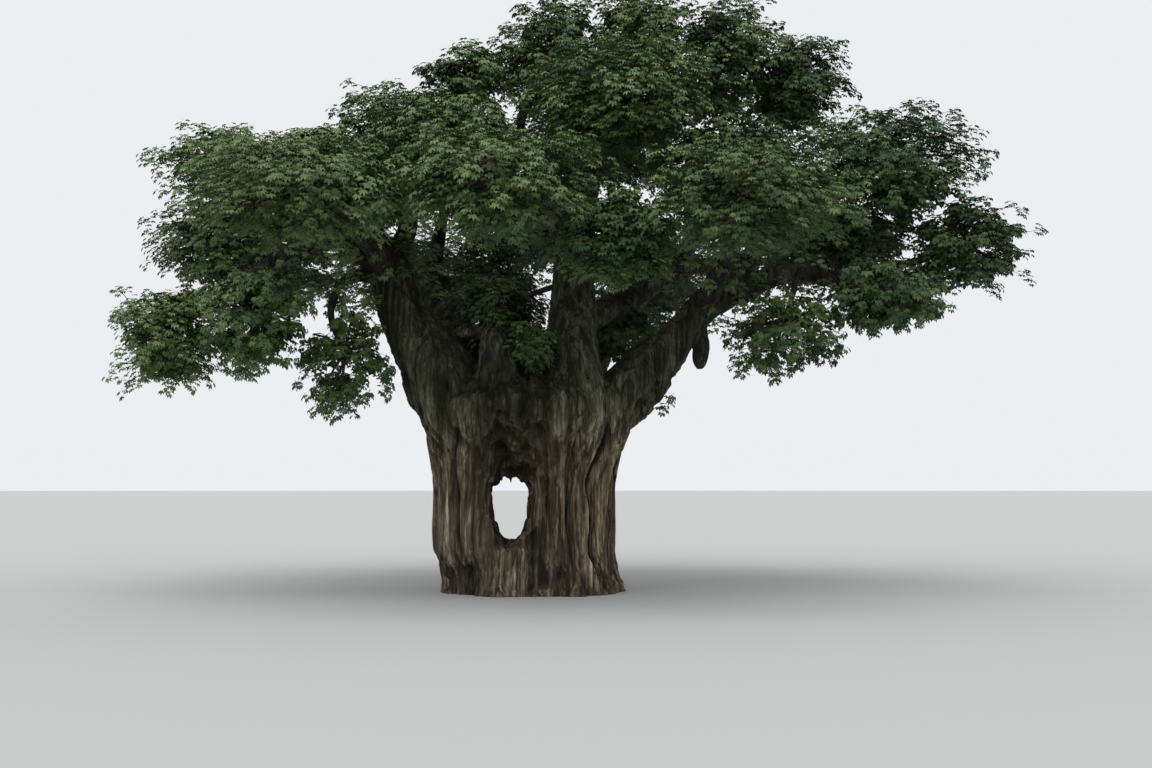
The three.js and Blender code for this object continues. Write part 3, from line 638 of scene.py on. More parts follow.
@dataclass(frozen=True)
class BarkFinish:
    """Grey-brown bark in long upright fibres, with painted shade in its creases and painted light on its
    crests.
    """

    name: str
    crease: Colour
    body: Colour
    ridge: Colour
    fibre: Colour
    # the near-black of rotten wood, also used as painted shade in the cracks, the recess, the hole and
    # the fork's floor
    rot_and_shade: Colour
    earth: Colour
    crown_shade: Colour = (0.44, 0.54, 0.5)  # painted shade of the crown, greenish grey: what the colour is multiplied by up in the fork
    crown_shade_from: float = 3.0
    crown_shade_to: float = 4.9
    upright: float = 0.07  # how tight the fibres are along Z, where across is 1
    streaks: Grain = Grain(1.0, 9.0, 8, 0.62)
    fine_streaks: Grain = Grain(0.3, 23.4, 4, 0.6, fibrous=False)
    contrast: Pair = (1.55, -0.275)  # what the streaks are multiplied by, and what is added
    fine_contrast: Pair = (0.5, 0.25)  # the same for the fine ones, but that it is taken off
    long_cracks: Grain = Grain(0.7, 2.0, 3, 0.5, 0.5)
    short_cracks: Grain = Grain(1.6, 6.2, 2, 0.5, 0.4)
    short_crack_depth: float = 0.65
    crack_half: float = 0.03
    crack_shade: float = 0.85
    crack_bump: float = 0.6
    patches: Grain = Grain(0.5, 0.55, 5, 0.6, fibrous=False)
    patch_level: float = 0.45
    patch_contrast: float = 2.2
    clumps: Grain = Grain(0.7, 5.0, 6, 0.66, fibrous=False)
    planks: Grain = Grain(0.8, 2.6, 2, 0.5, 0.3)
    bark_places: Point = (0.12, 0.5, 0.9)
    warm_places: Point = (0.15, 0.5, 0.95)
    dark_places: Point = (0.36, 0.5, 0.66)
    soil_places: Point = (0.15, 0.5, 0.9)
    plank_shades: tuple[Pair, ...] = ((0.34, 0.55), (0.5, 0.95), (0.66, 1.45))
    # painted shade in the relief's hollows and painted light on its crests: what the colour is
    # multiplied by for its depth
    relief_shades: tuple[Pair, ...] = ((0.0, 0.16), (0.45, 0.74), (1.0, 1.4))
    bump: float = 1.0
    bump_depth: float = 0.05
    roughness: float = 0.93
    specular: float = 0.2

    def grain(self, recipe: Recipe, kind: Grain) -> Socket:
        """Adds one of the bark's noises."""
        return recipe.noise(kind, self.upright * kind.upright if kind.fibrous else kind.upright)

    def tone(self, recipe: Recipe) -> Socket:
        """Returns how light the bark's fibres are, from 0 to 1."""
        streaks = self.grain(recipe, self.streaks)
        fine = self.grain(recipe, self.fine_streaks)
        share, less = self.fine_contrast
        strong = recipe.maths("MULTIPLY_ADD", streaks, *self.contrast, clamp=False)
        both = recipe.maths("MULTIPLY_ADD", fine, share, strong, clamp=False)
        return recipe.maths("SUBTRACT", both, less)

    def cracks(self, recipe: Recipe) -> Socket:
        """Returns 1 in the long thin cracks between the planks and the fibres, 0 elsewhere."""
        long_lines = self.grain(recipe, self.long_cracks)
        short_lines = self.grain(recipe, self.short_cracks)
        wide = recipe.crossings(long_lines, self.crack_half)
        fine = recipe.crossings(short_lines, self.crack_half)
        return recipe.maths("MAXIMUM", wide, recipe.maths("MULTIPLY", fine, self.short_crack_depth))

    def material(self) -> bpy.types.Material:
        """Builds the material. It reads the zones that the skin keeps in its Zones attribute."""
        recipe = Recipe(self.name)
        tone = self.tone(recipe)
        cracks = self.cracks(recipe)
        zones = recipe.node("ShaderNodeAttribute", attribute_name="Zones")
        split = recipe.node("ShaderNodeSeparateColor")
        recipe.feed(zones.outputs["Color"], split.inputs["Color"])
        worn, rot_and_shade_zone, earthy = (split.outputs[name] for name in ("Red", "Green", "Blue"))
        # the fibres' own streaks, dark to light as the bump sinks and rises, so also painted shade in
        # the creases and painted light on the crests
        bark = recipe.ramp(tone, self.bark_places, self.crease, self.body, self.ridge)
        warm = recipe.ramp(tone, self.warm_places, self.crease, self.fibre, self.ridge)
        soil = recipe.ramp(tone, self.soil_places, self.crease, self.earth, self.ridge)
        clumps = self.grain(recipe, self.clumps)
        dark = recipe.ramp(clumps, self.dark_places, self.rot_and_shade, self.crease, self.fibre)
        patches = recipe.maths("SUBTRACT", self.grain(recipe, self.patches), self.patch_level)
        patches = recipe.maths("MULTIPLY", patches, self.patch_contrast)
        colour = recipe.mix(recipe.maths("ADD", patches, worn), bark, warm)
        colour = recipe.mix(earthy, colour, soil)
        # dark rotten wood with painted shade in the recess and the hole, and painted shade on the fork's
        # floor
        colour = recipe.mix(rot_and_shade_zone, colour, dark)
        planks = recipe.greys(self.grain(recipe, self.planks), *self.plank_shades)
        colour = recipe.multiplied(colour, planks)
        # painted shade in the relief's hollows and painted light on its crests, read from the Zones
        # alpha
        colour = recipe.multiplied(colour, recipe.greys(zones.outputs["Alpha"], *self.relief_shades))
        # painted shade in the cracks
        colour = recipe.mix(recipe.maths("MULTIPLY", cracks, self.crack_shade), colour, self.rot_and_shade)
        # painted shade of the crown over the fork, darker with height
        if self.crown_shade_to > self.crown_shade_from:
            fork = recipe.by_height(self.crown_shade_from, self.crown_shade_to, self.crown_shade)
            colour = recipe.multiplied(colour, fork)
        raised = recipe.node("ShaderNodeBump")
        recipe.feed(self.bump, raised.inputs["Strength"])
        recipe.feed(self.bump_depth, raised.inputs["Distance"])
        sunk = recipe.maths("MULTIPLY", cracks, self.crack_bump)
        height = recipe.maths("SUBTRACT", tone, sunk, clamp=False)
        recipe.feed(height, raised.inputs["Height"])
        recipe.feed(raised.outputs["Normal"], recipe.shader.inputs["Normal"])
        return recipe.finished(colour, self.roughness, self.specular)


@dataclass(frozen=True)
class PlainFinish:
    """One colour without a pattern, for leaves and twigs that are dealt out by spray."""

    name: str
    colour: Colour
    roughness: float
    specular: float = 0.3

    def material(self) -> bpy.types.Material:
        """Builds the material on the shader's own sockets."""
        return Recipe(self.name).finished(self.colour, self.roughness, self.specular)


TRUNK_BARK = BarkFinish(
    name="trunk_bark",
    crease=(0.026, 0.0215, 0.0125),
    body=(0.146, 0.124, 0.078),
    ridge=(0.45, 0.4, 0.29),
    fibre=(0.108, 0.078, 0.043),
    rot_and_shade=(0.021, 0.018, 0.0115),
    earth=(0.12, 0.09, 0.062),
)
# the thinner limbs' bark: far darker than the trunk's in every colour, which paints the crown's shade
# into it, so none is multiplied in by height
LIMB_BARK = BarkFinish(
    name="limb_bark",
    crease=(0.014, 0.013, 0.0095),
    body=(0.05, 0.048, 0.035),
    ridge=(0.14, 0.137, 0.105),
    fibre=(0.05, 0.042, 0.028),
    rot_and_shade=(0.012, 0.011, 0.008),
    earth=(0.05, 0.043, 0.032),
    upright=0.4,
    crown_shade_from=0.0,
    crown_shade_to=0.0,
)
TWIG_BARK = PlainFinish("twig_bark", (0.045, 0.04, 0.031), 0.9, 0.2)


class LeafTone(Enum):
    """The tones of green that the leaf sprays are dealt, from the darkest to the lightest, partly at
    random and partly as painted light.
    """

    DEEP = PlainFinish("leaf_deep", (0.044, 0.08, 0.03), 0.6)
    BLUISH = PlainFinish("leaf_bluish", (0.058, 0.108, 0.048), 0.55)
    MIDDLE = PlainFinish("leaf_middle", (0.074, 0.131, 0.043), 0.55)
    OLIVE = PlainFinish("leaf_olive", (0.1, 0.146, 0.047), 0.55)
    FRESH = PlainFinish("leaf_fresh", (0.105, 0.178, 0.055), 0.5)
    PALE = PlainFinish("leaf_pale", (0.145, 0.212, 0.078), 0.5)


def show_piece(
    name: str, mesh: Mesh, finish: BarkFinish | PlainFinish, nodes: list[str]
) -> None:
    """Shows a mesh in its finish, in place of some CAD nodes.

    Args:
        name: The piece's name.
        mesh: Its mesh.
        finish: Its finish.
        nodes: The CAD nodes that it stands for.
    """
    mesh.materials.clear()
    mesh.materials.append(finish.material())
    piece = shown(name, mesh)
    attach(piece, BODY)
    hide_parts(*nodes)
    triangles = sum(len(polygon.vertices) - 2 for polygon in mesh.polygons)
    log.info("%s: %d triangles, for %d nodes", name, triangles, len(nodes))


@dataclass(frozen=True)
class Fold:
    """A fold that stands out of the trunk: the way it faces in degrees, how far and how wide."""

    faces: float
    out: float
    wide: float


@dataclass(frozen=True)
class Seam:
    """A narrow ridge or crevice that runs up the trunk.

    Its out is in metres, less than 0 for a crevice. Its way and width are in degrees, and it runs from
    the height low to the height high.
    """

    faces: float
    out: float
    wide: float
    low: float
    high: float


@dataclass(frozen=True)
class HoleSection:
    """One section of the hole through the trunk, in metres."""

    y: float
    x: float
    z: float
    half_wide: float
    half_high: float


@dataclass
class Trunk:
    """The trunk, in metres: half widths at its waist, and how they grow to its foot and its fork."""

    top: float = 5.25
    full_top: float = 5.4
    waist_x: float = 2.26
    waist_y: float = 1.98
    waist_height: float = 2.3
    middle_x: float = -0.07
    lean_x: float = 0.16
    foot_share: float = 0.92
    foot_shift: float = 0.26
    foot_height: float = 1.1
    flare: float = 0.16
    flare_height: float = 0.22
    spread_x: float = 0.98
    spread_y: float = 0.72
    shoulder: float = 0.93
    shoulder_from: float = 4.25
    lean_from: float = 2.5
    plain: float = 0.95  # its radius between the folds, as a share
    fold_drift: float = 4.0  # how far in degrees a fold strays from the way it faces
    fold_stray: float = 1.1  # and how fast, for each metre up
    folds_fade: float = 0.45  # how much weaker the folds are at the fork, and stronger at the foot
    folds_fade_from: float = 3.9
    folds_grow: float = 0.6
    sides: int = 200
    rings: int = 96
    buried: float = 0.3  # how far the skin goes on under the ground before it is cut off flat
    hole_sides: int = 64
    hole_rings: int = 40
    narrowing: float = 0.38
    squareness: float = 0.58  # how square the top of the throat is, and its foot
    foot_squareness: float = 0.3
    square_reach: float = 1.4  # how far from its middle along Y
    # how far the points of the hole's edge stand out, how many there are, and how fast they wind
    ragged: tuple[Point, ...] = ((0.07, 5, 1.3), (0.035, 11, 3.1))
    folds: tuple[Fold, ...] = (
        Fold(-152, 0.05, 13), Fold(-131, 0.06, 9), Fold(-116, 0.07, 8), Fold(-62, 0.1, 9),
        Fold(-33, 0.08, 10), Fold(-6, 0.04, 12), Fold(24, 0.08, 13), Fold(57, 0.06, 10),
        Fold(84, 0.08, 12), Fold(121, 0.07, 14), Fold(150, 0.05, 9), Fold(178, 0.05, 12),
    )
    seams: tuple[Seam, ...] = (
        Seam(-49, 0.11, 5.5, 0.2, 5.0),
        Seam(-40, -0.25, 1.6, 0.2, 4.3),
        Seam(-30, 0.07, 6.0, 0.2, 4.4),
        Seam(-19, -0.08, 1.6, 0.3, 3.6),
        Seam(-58, -0.1, 1.3, 0.6, 4.9),
        Seam(-124, 0.05, 5.0, 0.9, 4.6),
        Seam(-136, -0.1, 1.6, 0.2, 4.6),
        Seam(-145, 0.07, 4.5, 0.2, 4.8),
        Seam(-154, -0.08, 2.0, 0.3, 3.6),
        Seam(-166, -0.1, 2.2, 0.3, 3.9),
        Seam(40, -0.14, 2.4, 0.3, 4.2),
        Seam(70, -0.2, 2.6, 0.2, 4.6),
        Seam(103, -0.16, 2.2, 0.6, 4.4),
        Seam(136, -0.2, 2.5, 0.2, 4.0),
        Seam(164, -0.12, 2.3, 0.5, 4.6),
    )
    hole: tuple[HoleSection, ...] = (
        HoleSection(-3.2, -0.3, 3.1, 1.42, 2.15),
        HoleSection(-2.3, -0.32, 2.85, 1.08, 1.75),
        HoleSection(-1.5, -0.38, 2.35, 0.66, 1.2),
        HoleSection(-0.8, -0.4, 2.04, 0.47, 0.84),
        HoleSection(0.5, -0.4, 2.04, 0.5, 0.86),
        HoleSection(1.4, -0.42, 2.2, 0.68, 1.06),
        HoleSection(3.0, -0.45, 2.6, 1.15, 1.6),
    )
    drip_sides: int = 12
    drip_point: float = 0.012
    # where the top of each is, its radius there, and its length
    drips: tuple[tuple[Point, float, float], ...] = (
        ((-0.4, -0.78, 3.05), 0.2, 0.42),
        ((-0.5, -0.85, 3.1), 0.11, 0.36),
        ((-0.62, -0.85, 3.1), 0.12, 0.42),
        ((-0.2, -0.8, 3.1), 0.1, 0.38),
        ((-0.74, -0.8, 3.0), 0.1, 0.4),
        ((-0.04, -0.85, 3.0), 0.12, 0.42),
    )

    def reach(self, angle: Array, z: Array) -> Array:
        """Measures the trunk from its middle line to its skin, as the source does.

        Args:
            angle: The ways to measure, in radians from +X.
            z: The height of each measure.

        Returns:
            The distance for each measure.
        """
        z = np.maximum(z, 0)
        rise = np.maximum(0, (z - self.waist_height) / (self.top - self.waist_height))
        foot = self.flare * np.exp(-z / self.flare_height)
        drawn_in = self.foot_share + (1 - self.foot_share) * step(z, 0, self.foot_height)
        half_x = self.waist_x * drawn_in + foot + self.spread_x * rise * rise
        half_y = self.waist_y * drawn_in + foot + self.spread_y * rise * rise
        plain = 1 / np.hypot(np.cos(angle) / half_x, np.sin(angle) / half_y)
        bulge = np.zeros_like(z)
        for fold in self.folds:
            drift = self.fold_drift * np.sin(fold.faces + z * self.fold_stray)
            bulge += fold.out * bell(self.away(angle, fold.faces + drift), 0, fold.wide)
        faded = self.folds_fade * step(z, self.folds_fade_from, self.top)
        strength = 1 - faded + self.folds_grow * np.exp(-z / self.flare_height)
        above = np.clip((z - self.shoulder_from) / (self.full_top - self.shoulder_from), 0, 1)
        rim = np.sqrt(1 - self.shoulder * above**2)
        return plain * (self.plain + bulge * strength) * rim

    @staticmethod
    def away(angle: Array, faces: float | Array) -> Array:
        """Returns how many degrees each angle, in radians, is away from a way it may face."""
        turn = np.degrees(angle) - faces
        return (turn + 180) % 360 - 180

    def middle(self, z: Array) -> Array:
        """Returns the X of the trunk's middle line at each height."""
        shift = self.foot_shift * (1 - step(z, 0, self.foot_height))
        return self.middle_x + shift + self.lean_x * step(z, self.lean_from, self.top)

    def body(self) -> Shape:
        """Makes the trunk without its hole, going on a little under the ground."""
        made = ringed_cylinder(self.sides, self.rings)
        at = vertex_places(made)
        z = at[:, 2] * (self.full_top + self.buried) - self.buried
        angle = np.arctan2(at[:, 1], at[:, 0])
        radius = self.reach(angle, z)
        places = np.stack([self.middle(z) + radius * np.cos(angle), radius * np.sin(angle), z], axis=1)
        move_vertices(made, places)
        return made

    def hole_space(self) -> Shape:
        """Makes the space of the hole: a funnel in front, a throat, and a smaller funnel behind."""
        made = ringed_cylinder(self.hole_sides, self.hole_rings)
        at = vertex_places(made)
        sections = smooth_line(np.array([[s.y, s.x, s.z, s.half_wide, s.half_high] for s in self.hole]))
        along = at[:, 2] * (len(sections) - 1)
        y, x, z, half_wide, half_high = (
            np.interp(along, np.arange(len(sections)), column) for column in sections.T
        )
        turn = np.arctan2(at[:, 1], at[:, 0])
        narrow = 1 - self.narrowing * np.maximum(0, -np.sin(turn))
        ragged = np.ones(len(turn))
        for out, points, winding in self.ragged:
            ragged += out * np.sin(points * turn + winding * y)
        squareness = np.where(np.sin(turn) > 0, self.squareness, self.foot_squareness)
        square = 1 - squareness * bell(y, 0, self.square_reach)
        wide = half_wide * narrow * ragged * np.sign(np.cos(turn)) * np.abs(np.cos(turn)) ** square
        high = half_high * ragged * np.sign(np.sin(turn)) * np.abs(np.sin(turn)) ** square
        move_vertices(made, np.stack([x + wide, y, z + high], axis=1))
        return made

    def bark_drips(self) -> list[Shape]:
        """Makes the ragged points of bark that hang from the top of the hole."""
        made = []
        for place, radius, length in self.drips:
            drip = bmesh.new()
            bmesh.ops.create_cone(
                drip, cap_ends=True, segments=self.drip_sides, radius1=self.drip_point, radius2=radius,
                depth=length, matrix=Matrix.Translation(Vector(place) - Vector((0, 0, length / 2))),
            )
            made.append(drip)
        return made


@dataclass(frozen=True)
class Patch:
    """A part of the trunk's skin with soft edges, in metres.

    Its middle is at x, or leans from it, and it fades over its width to both sides. It starts between
    the first two heights and ends between the last two. It is in front unless it is behind, and starts
    between the two depths.
    """

    x: float
    wide: float
    heights: tuple[float, float, float, float]
    depths: Pair
    behind: bool = False
    flat: float = 0.0  # how far to both sides it is as strong as in its middle
    lean: float = 0.0  # how far it leans to -X with each metre
    lean_from: float = 2.0

    def share(self, points: Array) -> Array:
        """Returns how strongly each point belongs to it, from 0 to 1."""
        x, y, z = points.T
        low, full, fading, high = self.heights
        away = x - (self.x + self.lean * (self.lean_from - z))
        across = 1 - step(np.abs(away), self.flat, self.wide) if self.flat else bell(away, 0, self.wide)
        depth = step(y if self.behind else -y, *self.depths)
        return across * step(z, low, full) * (1 - step(z, fading, high)) * depth


@dataclass(frozen=True)
class Ridges:
    """A kind of ridge in the bark, with creases between, in metres.

    Its size is along X, Y and Z. The sharper it is, the narrower its creases are. The sunk share of
    its height lies under the plain skin.
    """

    noise: Noise
    out: float
    size: Point
    sharpness: float
    sunk: float

    def relief(self, points: Array, weight: float | Array = 1.0) -> Array:
        """Returns how far it moves each point outwards, where it has a weight from 0 to 1."""
        return self.out * weight * (self.noise.folds(points, self.size, self.sharpness) - self.sunk)


@dataclass
class Bark:
    """The relief of the trunk's bark, in metres: planks, strips and fibres up it, and rough places."""

    planks: Ridges = Ridges(Noise(11), 0.12, (0.45, 0.45, 7.0), 3.6, 0.75)
    strips: Ridges = Ridges(Noise(12), 0.05, (0.2, 0.2, 3.2), 3.0, 0.7)
    fibres: Ridges = Ridges(Noise(13), 0.022, (0.095, 0.095, 1.7), 2.2, 0.6)
    wrinkles: Ridges = Ridges(Noise(15), 0.022, (0.55, 0.55, 0.13), 2.2, 0.5)  # across the boughs
    limb_folds: Ridges = Ridges(Noise(12), 0.014, (0.16, 0.16, 0.3), 2.2, 0.5)
    warp: Noise = Noise(3)
    drift: Noise = Noise(4)
    shag: Noise = Noise(14)
    lumps: Noise = Noise(15)
    sway: float = 0.14  # how far the ridges stray sideways as they rise
    sway_size: Point = (1.4, 1.4, 1.5)
    shag_out: float = 0.07
    shag_size: Point = (0.16, 0.16, 0.3)
    fine_shag: float = 0.7
    fine_shag_size: Point = (0.08, 0.08, 0.15)
    lump_out: float = 0.05
    lump_size: float = 0.75
    limb_lump_out: float = 0.03
    limb_lump_size: float = 0.45
    sill_out: float = 0.12  # how far the sill fills the groove below the hole
    # how many degrees a crevice sways, how much it differs from the next, and how fast it sways
    seam_sway: tuple[Point, ...] = ((2.2, 2.3, 1.3), (1.2, 1.0, 3.7))
    seam_ends: tuple[float, ...] = (-0.3, 0.5, -0.9, 0.3)  # where it fades, from its low and high end
    seam_outside: Pair = (1.3, 1.7)  # how far out crevices start, as the hole's walls have none
    trunk_fades: Pair = (4.6, 6.2)  # the heights between which the trunk's bark turns into the boughs'
    wrinkled: Pair = (3.6, 5.4)
    planks_spared: Pair = (0.75, 0.7)  # how much weaker planks are in the throat and in the recess
    strips_least: float = 0.3
    strips_spared: float = 0.65
    rough_throat: float = 0.55
    rough_sill: float = 0.7
    rough_sill_heights: Pair = (0.6, 1.5)
    shag_sunk: float = 0.1
    lumps_spared: float = 0.6
    throat_middle: Pair = (-0.4, 2.1)
    throat_half: Pair = (1.0, 1.35)
    throat_edge: Pair = (0.8, 1.15)
    throat_depths: Pair = (1.15, 1.75)
    fork_facing: Pair = (0.3, 0.75)
    fork_heights: tuple[float, ...] = (4.5, 5.0, 5.7, 6.3)
    recess_behind_share: float = 0.8
    brown_shares: Pair = (1.25, 0.75)
    earthy_legs: float = 0.75
    earthy_heights: Pair = (0.5, 2.6)
    recess_front: Patch = Patch(-0.27, 1.3, (2.5, 3.1, 4.9, 5.7), (0.3, 1.0), flat=0.75)
    recess_behind: Patch = Patch(-0.4, 0.9, (2.6, 3.1, 3.7, 4.4), (0.7, 1.2), behind=True)
    brown_face: Patch = Patch(0.62, 0.62, (0.1, 0.9, 3.1, 4.1), (0.6, 1.1))
    brown_edge: Patch = Patch(1.9, 0.35, (-2.0, -1.0, 1.9, 3.2), (0.3, 0.8))
    earthy_sill: Patch = Patch(-0.1, 0.75, (-2.0, -1.0, 0.9, 1.4), (0.5, 1.0))
    raised_sill: Patch = Patch(-0.3, 0.5, (-2.0, -1.0, 1.02, 1.24), (1.0, 1.6))
    pale_ridge: Patch = Patch(1.32, 0.3, (0.3, 0.9, 4.6, 5.6), (0.8, 1.2), lean=0.06)

    def upright(self, points: Array) -> Array:
        """Returns the points drifting sideways with height, so that ridges on them aren't straight."""
        moved = points.copy()
        moved[:, 0] += self.sway * self.warp.at(points, self.sway_size)
        moved[:, 1] += self.sway * self.drift.at(points, self.sway_size)
        return moved

    def recess(self, points: Array) -> Array:
        """Returns 1 in the dark shaggy recess above the hole, in front and behind, 0 elsewhere."""
        behind = self.recess_behind_share * self.recess_behind.share(points)
        return self.recess_front.share(points) + behind

    def throat(self, points: Array) -> Array:
        """Returns 1 on the walls of the hole, 0 on the outside of the trunk."""
        away = (points[:, ::2] - self.throat_middle) / self.throat_half
        inside = 1 - step(np.hypot(*away.T), *self.throat_edge)
        return inside * (1 - step(np.abs(points[:, 1]), *self.throat_depths))

    def worn(self, points: Array) -> Array:
        """Returns 1 on the brown fibrous face to the right of the hole, 0 elsewhere."""
        face, edge = self.brown_shares
        return np.clip(self.brown_face.share(points) * face + edge * self.brown_edge.share(points), 0, 1)

    def earthy(self, points: Array) -> Array:
        """Returns 1 on the pinkish rough sill and low on the legs, 0 elsewhere."""
        legs = self.earthy_legs * (1 - step(points[:, 2], *self.earthy_heights))
        return np.clip(np.maximum(self.earthy_sill.share(points), legs), 0, 1)

    def shaded_fork_floor(self, points: Array, normals: Array) -> Array:
        """Returns 1 where the fork's floor between the boughs faces up, to be painted in shade, 0
        elsewhere.
        """
        z = points[:, 2]
        low, full, fading, high = self.fork_heights
        return step(normals[:, 2], *self.fork_facing) * step(z, low, full) * (1 - step(z, fading, high))

    def seams(self, trunk: Trunk, points: Array) -> Array:
        """Returns how far the trunk's ridges and crevices move each point outwards."""
        x, y, z = points.T
        angle = np.arctan2(y, x - trunk.middle(z))
        moved = np.zeros(len(points))
        low, full, fading, high = self.seam_ends
        for number, seam in enumerate(trunk.seams):
            sway = sum(wide * np.sin(number * own + z * fast) for wide, own, fast in self.seam_sway)
            length = step(z, seam.low + low, seam.low + full)
            length = length * (1 - step(z, seam.high + fading, seam.high + high))
            moved += seam.out * length * bell(trunk.away(angle, seam.faces + sway), 0, seam.wide)
        return moved * step(np.hypot(x - trunk.middle(z), y), *self.seam_outside)

    def relief(self, trunk: Trunk, points: Array) -> Array:
        """Works out how far the bark stands out of the plain skin.

        Args:
            trunk: The trunk, for its ridges and crevices.
            points: Points on the plain skin.

        Returns:
            The distance outwards for each point.
        """
        z = points[:, 2]
        moved = self.upright(points)
        on_trunk = 1 - step(z, *self.trunk_fades)
        recess = self.recess(points)
        throat = self.throat(points)
        in_throat, in_recess = self.planks_spared
        calm = on_trunk * (1 - in_throat * throat) * (1 - in_recess * recess)
        some = (self.strips_least + (1 - self.strips_least) * calm) * (1 - self.strips_spared * recess)
        out = self.planks.relief(moved, calm)
        out += self.strips.relief(moved, some)
        out += self.fibres.relief(moved, some)
        low, high = self.rough_sill_heights
        sill = self.rough_sill * self.earthy(points) * step(-z, -high, -low)
        rough = np.clip(recess + self.rough_throat * throat + sill, 0, 1)
        out += self.shag_out * rough * (self.shag.at(points, self.shag_size) - self.shag_sunk)
        out += self.shag_out * self.fine_shag * rough * self.shag.at(points + 5, self.fine_shag_size)
        out += self.lump_out * (1 - self.lumps_spared * on_trunk) * self.lumps.at(points, self.lump_size)
        out += self.wrinkles.relief(points + 9, step(z, *self.wrinkled))
        return out + self.sill_out * self.raised_sill.share(points) + self.seams(trunk, points)

    def limb_relief(self, points: Array) -> Array:
        """Returns how far the bark of the thinner limbs stands out at each point."""
        lumps = self.limb_lump_out * self.lumps.at(points, self.limb_lump_size)
        return lumps + self.limb_folds.relief(points)


@dataclass
class Wood:
    """The trunk, boughs and limbs, skinned afresh on the source's lines."""

    trunk: Trunk = field(default_factory=Trunk)
    bark: Bark = field(default_factory=Bark)
    voxel: float = 0.03
    first_voxel: float = 0.06
    limb_voxel: float = 0.042
    drip_voxel: float = 0.02
    blending: int = 50  # how many times the skin is smoothed before the hole is cut
    drawn_in: float = 0.00045  # how far each time draws in a bough of radius 1
    hidden_foot: float = 0.5  # how thick a bough's foot is inside the trunk, as a share of its radius
    foot_length: float = 0.3  # where it has its own radius, as a share of its length
    splinter_wide: float = 25.0  # how many degrees round a broken end each splinter takes
    splinter_length: float = 0.09  # as a share of the limb's length
    splinter_from: float = 0.8  # where on the limb they start
    rounding: float = 0.3  # how much of its length a rounded end takes
    rounded_in: float = 0.9  # how nearly closed it is at its very end
    shade_depth: float = 0.19  # the relief between the darkest shade and the lightest
    limb_shade_depth: float = 0.1
    pale_light: float = 0.6  # how much lighter the pale ridge is, and how dark the rot and painted shade are in the recess, the hole and the fork's floor
    rot_and_shade_recess: float = 0.9
    rot_and_shade_throat: float = 0.35
    fork_floor_shade: float = 0.6
    rot_and_shade_least: float = 0.6  # in the palest of its patches
    rot_and_shade_patches: float = 0.5  # how large they are
    limb_sides: int = 28
    ring_length: float = 0.16
    most_faces: int = 192000
    ribs: tuple[Limb, ...] = (
        Limb(((-1.3, -0.6, 2.9), (-2.05, -0.95, 4.9), (-2.65, -0.68, 6.3)), 0.8, 0.62, 1.0),
        Limb(((-0.7, -0.8, 3.3), (-0.72, -1.4, 5.0), (-0.7, -1.08, 6.3)), 0.66, 0.36, 1.0),
        Limb(((1.0, -0.6, 2.9), (1.15, -1.2, 5.0), (1.13, -0.4, 7.2)), 0.84, 0.46, 1.0),
        Limb(((1.2, -0.6, 2.9), (2.28, -0.92, 4.85), (3.35, -0.55, 5.95)), 0.76, 0.48, 1.0),
        Limb(((-0.8, 0.6, 2.9), (-1.35, 1.6, 5.0), (-1.9, 2.5, 6.6)), 0.84, 0.6, 1.0),
        Limb(((0.8, 0.6, 2.9), (1.2, 1.7, 5.0), (1.8, 2.75, 6.6)), 0.84, 0.6, 1.0),
        Limb(((0.1, 0.7, 3.4), (0.12, 1.3, 4.9), (0.14, 1.55, 5.95)), 0.62, 0.44, 1.0),
    )  # folds that run up from the trunk into the boughs and the stub, and the back of the fork
    snag: Limb = Limb(((-0.72, -1.08, 6.2), (-1.2, -1.0, 6.36), (-1.75, -0.92, 6.28)), 0.16, 0.1)

    def limb_skin(self, limb: Limb, smoothed: int = 0) -> Shape:
        """Makes one limb as a closed tube of many rings.

        Args:
            limb: The limb.
            smoothed: How many times it is to be smoothed into the trunk's skin. It is that much thicker,
                and its foot is drawn in so that it doesn't stand out of the trunk.

        Returns:
            The tube, its ends closed.
        """
        rings = max(6, round(limb.length / self.ring_length))
        made = ringed_cylinder(self.limb_sides, rings)
        at = vertex_places(made)
        share = at[:, 2]
        if limb.end is LimbEnd.BROKEN:
            turn = np.degrees(np.arctan2(at[:, 1], at[:, 0]))
            splinters = chance(np.round(turn / self.splinter_wide) + 3)
            share = share - self.splinter_length * splinters * step(share, self.splinter_from, 1.0)
        along = limb.heading(share)
        chord = unit(limb.course[-1] - limb.course[0])
        aside = ALONG_Y if abs(chord[1]) < 0.7 else ALONG_X
        across = unit(np.cross(aside, along))
        over = unit(np.cross(across, along))
        radius = limb.radius(share)[:, None]
        if smoothed:
            foot = self.hidden_foot + (1 - self.hidden_foot) * step(share[:, None], 0, self.foot_length)
            radius = radius * foot + smoothed * self.drawn_in / radius
        if limb.end is LimbEnd.ROUND:
            rounded = np.clip((share[:, None] - (1 - self.rounding)) / self.rounding, 0, 1)
            radius *= np.sqrt(1 - self.rounded_in * rounded**2)
        places = limb.line(share) + radius * (at[:, :1] * across + at[:, 1:2] * over)
        move_vertices(made, places)
        return made

    @staticmethod
    def gathered(name: str, parts: list[Shape]) -> Thing:
        """Puts several closed shapes into one object, for a remesh to fuse.

        Args:
            name: The object's name.
            parts: The shapes, which are freed.

        Returns:
            The object that holds them all.
        """
        whole = bpy.data.meshes.new(name)
        gathered = bmesh.new()
        for part in parts:
            scrap = bpy.data.meshes.new("scrap")
            part.to_mesh(scrap)
            gathered.from_mesh(scrap)
            part.free()
            bpy.data.meshes.remove(scrap)
        gathered.to_mesh(whole)
        gathered.free()
        return shown(name, whole)

